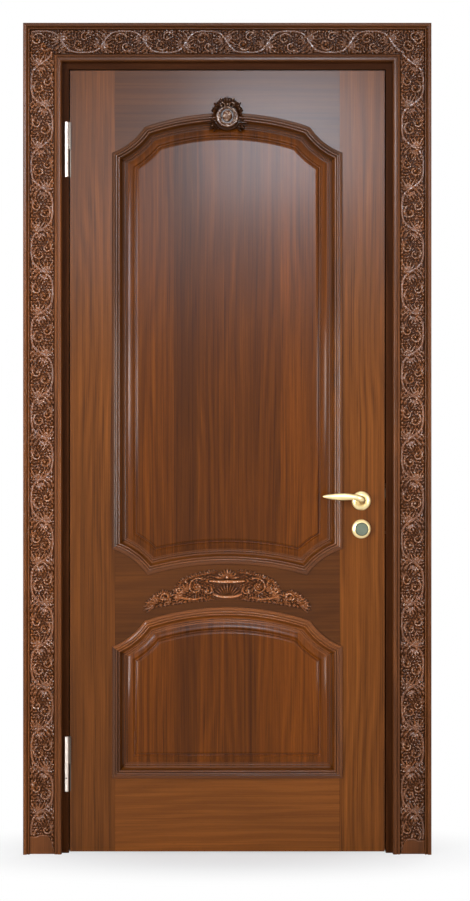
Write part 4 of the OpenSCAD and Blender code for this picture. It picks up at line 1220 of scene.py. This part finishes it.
def lever_rings(face, side, count=40):
    """Oval rings along the middle line of a lever, on a face of the leaf."""
    spine = np.array([place for place, tall, deep in LEVER], float)
    ahead = np.gradient(spine, axis=0)
    ahead[:2] = (0, 1, 0)
    turn = np.linspace(0, 2 * math.pi, count, endpoint=False)
    rings = []
    for (place, tall, deep), way in zip(LEVER, ahead):
        way = way / np.hypot(np.hypot(*way[:2]), way[2])
        up = np.array([0, 0, 1.0]) - way[2] * way
        up /= np.sqrt(up @ up)
        across = np.cross(way, up)
        ring = np.array(place) + np.outer(tall * np.cos(turn), up) + np.outer(deep * np.sin(turn), across)
        ring[:, 1] = face + side * ring[:, 1]
        rings.append(ring * MM)
    return rings


class DOOR_OT_furniture(bpy.types.Operator):
    """Shape the polished levers and roses"""

    bl_idname = "door.furniture"
    bl_label = "Levers and roses"

    def execute(self, context):
        brass = bpy.data.materials["polished_brass"]
        for face, side, word in FACES:
            for node in (word + "_lever_rose", word + "_turn_rose"):
                low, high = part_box(node)
                centre = (low + high) / 2 / MM
                rose = turned(node + "_turned", ROSE, (centre.x, face, centre.z), side)
                settle(rose, "leaf", "polished_brass", brass, node)
            lever = lofted(word + "_lever_shaped", lever_rings(face, side))
            settle(lever, "handle", "polished_brass", brass, word + "_lever")
        return {"FINISHED"}


# Radius of a screw head, share of it in a set screw, how far the screws stand from the ends of the faceplate
# and the strike plate, and how far the set screws stand below the middle of a hinge, in metres
SCREW, SET_SCREW = 0.0036, 0.62
FACEPLATE_END, STRIKE_END, SET_DROP = 0.009, 0.008, 0.036


def screw_head(name, radius):
    """A slotted countersunk head that faces up Z, with its rim at the origin."""
    deselect()
    bpy.ops.mesh.primitive_cylinder_add(
        vertices=24, radius=radius, depth=0.0012, location=(0, 0, -0.0003),
    )
    head = bpy.context.object
    head.name = head.data.name = name
    bpy.ops.object.transform_apply(location=True, rotation=True, scale=True)
    pick_faces(head, [face.normal.z > 0.9 for face in head.data.polygons])
    with editing(head, kind="FACE"):
        bpy.ops.mesh.bevel(offset=0.00025, segments=2, affect="EDGES")
    deselect()
    bpy.ops.mesh.primitive_cube_add(size=1.0, location=(0, 0, 0.0004))
    slot = bpy.context.object
    slot.scale = (3 * radius, 0.28 * radius, 0.0010)
    bpy.ops.object.transform_apply(location=True, rotation=True, scale=True)
    alone(head)
    groove = head.modifiers.new("slot", "BOOLEAN")
    groove.operation = "DIFFERENCE"
    groove.solver = "EXACT"
    groove.object = slot
    bpy.ops.object.modifier_apply(modifier=groove.name)
    bpy.data.objects.remove(slot)
    return head


class DOOR_OT_screws(bpy.types.Operator):
    """Fix the lock plates with slotted screws, and the hinges with their set screws"""

    bl_idname = "door.screws"
    bl_label = "Screws"

    def execute(self, context):
        steel = bpy.data.materials["zinc_steel"]
        dark = metal("set_screw_steel", (0.012, 0.011, 0.010), 0.6)
        places = []
        low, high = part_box("faceplate")
        for z in (low.z + FACEPLATE_END, high.z - FACEPLATE_END):
            places.append(("faceplate", "leaf", (high.x, 0, z), (1, 0, 0)))
        low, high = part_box("strike_plate")
        for z in (low.z + STRIKE_END, high.z - STRIKE_END):
            places.append(("strike", "frame", (low.x, 0, z), (-1, 0, 0)))
        head = screw_head("screw_pattern", SCREW)
        shape = points(head)
        for n, (word, body, at, way) in enumerate(places):
            self.place(head, shape, f"{word}_screw_{n + 1}", body, at, way, steel)
        for hinge in ("upper", "lower"):
            low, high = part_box(hinge + "_hinge_pin")
            middle = (low + high) / 2
            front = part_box(hinge + "_hinge_leaf_half")[0].y
            at = (middle.x, front + 0.00015, middle.z - SET_DROP)
            self.place(head, shape * SET_SCREW, hinge + "_set_screw", "frame", at, (0, -1, 0), dark)
        bpy.data.objects.remove(head)
        return {"FINISHED"}

    @staticmethod
    def place(head, shape, name, body, at, way, material):
        """A copy of the head, turned to face a way."""
        piece = bpy.data.objects.new(name, head.data.copy())
        bpy.context.scene.collection.objects.link(piece)
        turn = np.array(Vector(way).to_track_quat("Z", "Y").to_matrix())
        move_points(piece, shape @ turn.T + np.array(at))
        settle(piece, body, "lock_steel", material)


WHITE = (1.0, 1.0, 1.0, 1.0)
COOL, WARM, DAY = (0.80, 0.88, 1.0), (1.0, 0.96, 0.90), (1.0, 0.98, 0.96)
# Lamps: place, aim, size, share of the key power, spread in degrees and colour
LAMPS = {
    "right_lamp": ((3.1, -4.4, 1.1), (-0.05, 0, 1.0), (1.2, 1.2), 0.046, 34, WARM),
    "left_lamp": ((-3.1, -4.4, 1.0), (0.10, 0, 1.0), (1.2, 1.2), 0.050, 34, WARM),
    "strip_lamp": ((-3.1, -4.6, 1.75), (0, 0, 1.75), (0.50, 3.4), 0.85, 180, COOL),
    "high_lamp": ((-3.1, -4.6, 2.7), (-0.1, 0, 1.6), (0.8, 1.4), 0.024, 34, COOL),
    "sheen_lamp": ((0.28, -5.5, 2.64), (0.28, 0, 2.64), (0.85, 0.62), 0.70, 180, COOL),
    "wide_lamp": ((0.05, -5.5, 2.43), (0.05, 0, 2.43), (2.4, 0.95), 0.44, 180, COOL),
    "low_lamp": ((0.05, -5.5, 1.95), (0.05, 0, 1.95), (2.4, 0.60), 0.08, 180, COOL),
    "bevel_lamp": ((0.0, -4.2, 3.2), (0, 0, 0.6), (1.8, 0.5), 0.14, 180, COOL),
    "top_lamp": ((0.2, -1.6, 4.2), (0, 0, 0.9), (2.4, 0.4), 0.08, 180, DAY),
    "rear_lamp": ((1.6, 4.6, 2.4), (0, 0, 1.1), (2.4, 2.4), 1.2, 180, DAY),
}


def studio_lamp(name, at, aim, size, power, spread, colour):
    """A soft rectangular lamp."""
    data = bpy.data.lights.new(name, "AREA")
    data.shape = "RECTANGLE"
    data.size, data.size_y = size
    data.energy = power
    data.spread = math.radians(spread)
    data.color = colour
    lamp = bpy.data.objects.new(name, data)
    bpy.context.scene.collection.objects.link(lamp)
    lamp.location = at
    lamp.rotation_euler = (Vector(aim) - Vector(at)).to_track_quat("-Z", "Y").to_euler()


def looked_at(f):
    """1 for rays that show a surface, straight, mirrored or through glass, and 0 for those that light it."""
    ray = f.node("LightPath")
    shown = ray.out("Is Camera Ray") + ray.out("Is Glossy Ray") + ray.out("Is Transmission Ray")
    return shown.math("MINIMUM", 1.0)


def white_floor(f):
    """A floor that looks white, apart from a soft shadow round the door."""
    x, y, _ = f.place()
    away = 0.5 + 0.5 * (x * x * 0.25 + y * y).math("SQRT").step(0.08, 0.45)
    matt = f.node("BsdfDiffuse", {"Color": (0.90, 0.90, 0.90, 1.0)}).out("BSDF")
    glow = f.node("Emission", {"Color": WHITE, "Strength": 1.0}).out("Emission")
    mixed = f.node("MixShader", {0: away * looked_at(f), 1: matt, 2: glow}).out(0)
    f.node("OutputMaterial", {"Surface": mixed})


def white_world(f, fill):
    """Surroundings that look white and light evenly by the fill."""
    even = f.node("Background", {"Color": WHITE, "Strength": fill}).out(0)
    white = f.node("Background", {"Color": WHITE, "Strength": 1.0}).out(0)
    mixed = f.node("MixShader", {0: looked_at(f), 1: even, 2: white}).out(0)
    f.node("OutputWorld", {"Surface": mixed})


class DOOR_OT_studio(bpy.types.Operator):
    """Set the floor, the lamps, the surroundings and the camera"""

    bl_idname = "door.studio"
    bl_label = "Studio"

    def execute(self, context):
        scene = context.scene
        studio = scene.door_studio
        deselect()
        bpy.ops.mesh.primitive_circle_add(vertices=96, radius=14.0, fill_type="NGON")
        floor = context.object
        floor.name = "studio_floor"
        material = bpy.data.materials.new("studio_floor")
        white_floor(Finish(material))
        floor.data.materials.append(material)
        scene.world = scene.world or bpy.data.worlds.new("studio")
        white_world(Finish(scene.world), studio.fill)
        for name, (at, aim, size, share, spread, colour) in LAMPS.items():
            studio_lamp(name, at, aim, size, share * studio.key, spread, colour)
        self.camera(scene, studio)
        scene.view_settings.view_transform = "Standard"
        return {"FINISHED"}

    @staticmethod
    def camera(scene, studio):
        """A level camera that sees the leaf where the photograph shows it."""
        data = bpy.data.cameras.new("photo_camera")
        camera = bpy.data.objects.new("photo_camera", data)
        scene.collection.objects.link(camera)
        scene.camera = camera
        scale = studio.scale * MM
        data.sensor_width = 36.0
        data.lens = data.sensor_width * studio.distance / (PHOTO[1] * scale)
        data.clip_end = 100
        leaf_mid = (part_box("lock_stile")[1].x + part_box("hinge_stile")[0].x) / 2
        x = leaf_mid + (PHOTO[0] / 2 - LEAF_PIXELS[0]) * scale
        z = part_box("lock_stile")[1].z - (PHOTO[1] / 2 - LEAF_PIXELS[1]) * scale
        camera.location = (x, LEAF_FACE - studio.distance, z)
        camera.rotation_euler = (math.radians(90), 0, 0)


OPERATORS = (
    DOOR_OT_timber, DOOR_OT_metal, DOOR_OT_panels, DOOR_OT_mouldings, DOOR_OT_casing, DOOR_OT_crest,
    DOOR_OT_rail_carving, DOOR_OT_furniture, DOOR_OT_screws, DOOR_OT_studio,
)


class DOOR_PT_sidebar(bpy.types.Panel):
    """Steps and settings of the door."""

    bl_idname = "DOOR_PT_sidebar"
    bl_label = "Carved timber door"
    bl_space_type = "VIEW_3D"
    bl_region_type = "UI"
    bl_category = "Door"

    def draw(self, context):
        for name in SETTINGS:
            group = getattr(context.scene, name)
            box = self.layout.box()
            for prop in group.bl_rna.properties:
                if prop.identifier not in ("rna_type", "name"):
                    box.prop(group, prop.identifier)
        for operator in OPERATORS:
            self.layout.operator(operator.bl_idname)


SETTINGS = {
    "door_timber": TimberSettings,
    "door_carving": CarvingSettings,
    "door_metal": MetalSettings,
    "door_studio": StudioSettings,
}
CLASSES = (*SETTINGS.values(), *OPERATORS, DOOR_PT_sidebar)


def register():
    for cls in CLASSES:
        bpy.utils.register_class(cls)
    for name, group in SETTINGS.items():
        setattr(bpy.types.Scene, name, PointerProperty(type=group))


def unregister():
    for name in SETTINGS:
        delattr(bpy.types.Scene, name)
    for cls in reversed(CLASSES):
        bpy.utils.unregister_class(cls)


def main():
    register()
    bpy.ops.door.timber()
    bpy.ops.door.metal()
    bpy.ops.door.panels()
    bpy.ops.door.mouldings()
    bpy.ops.door.casing()
    bpy.ops.door.crest()
    bpy.ops.door.rail_carving()
    bpy.ops.door.furniture()
    bpy.ops.door.screws()
    bpy.ops.door.studio()


if __name__ == "__main__":
    main()
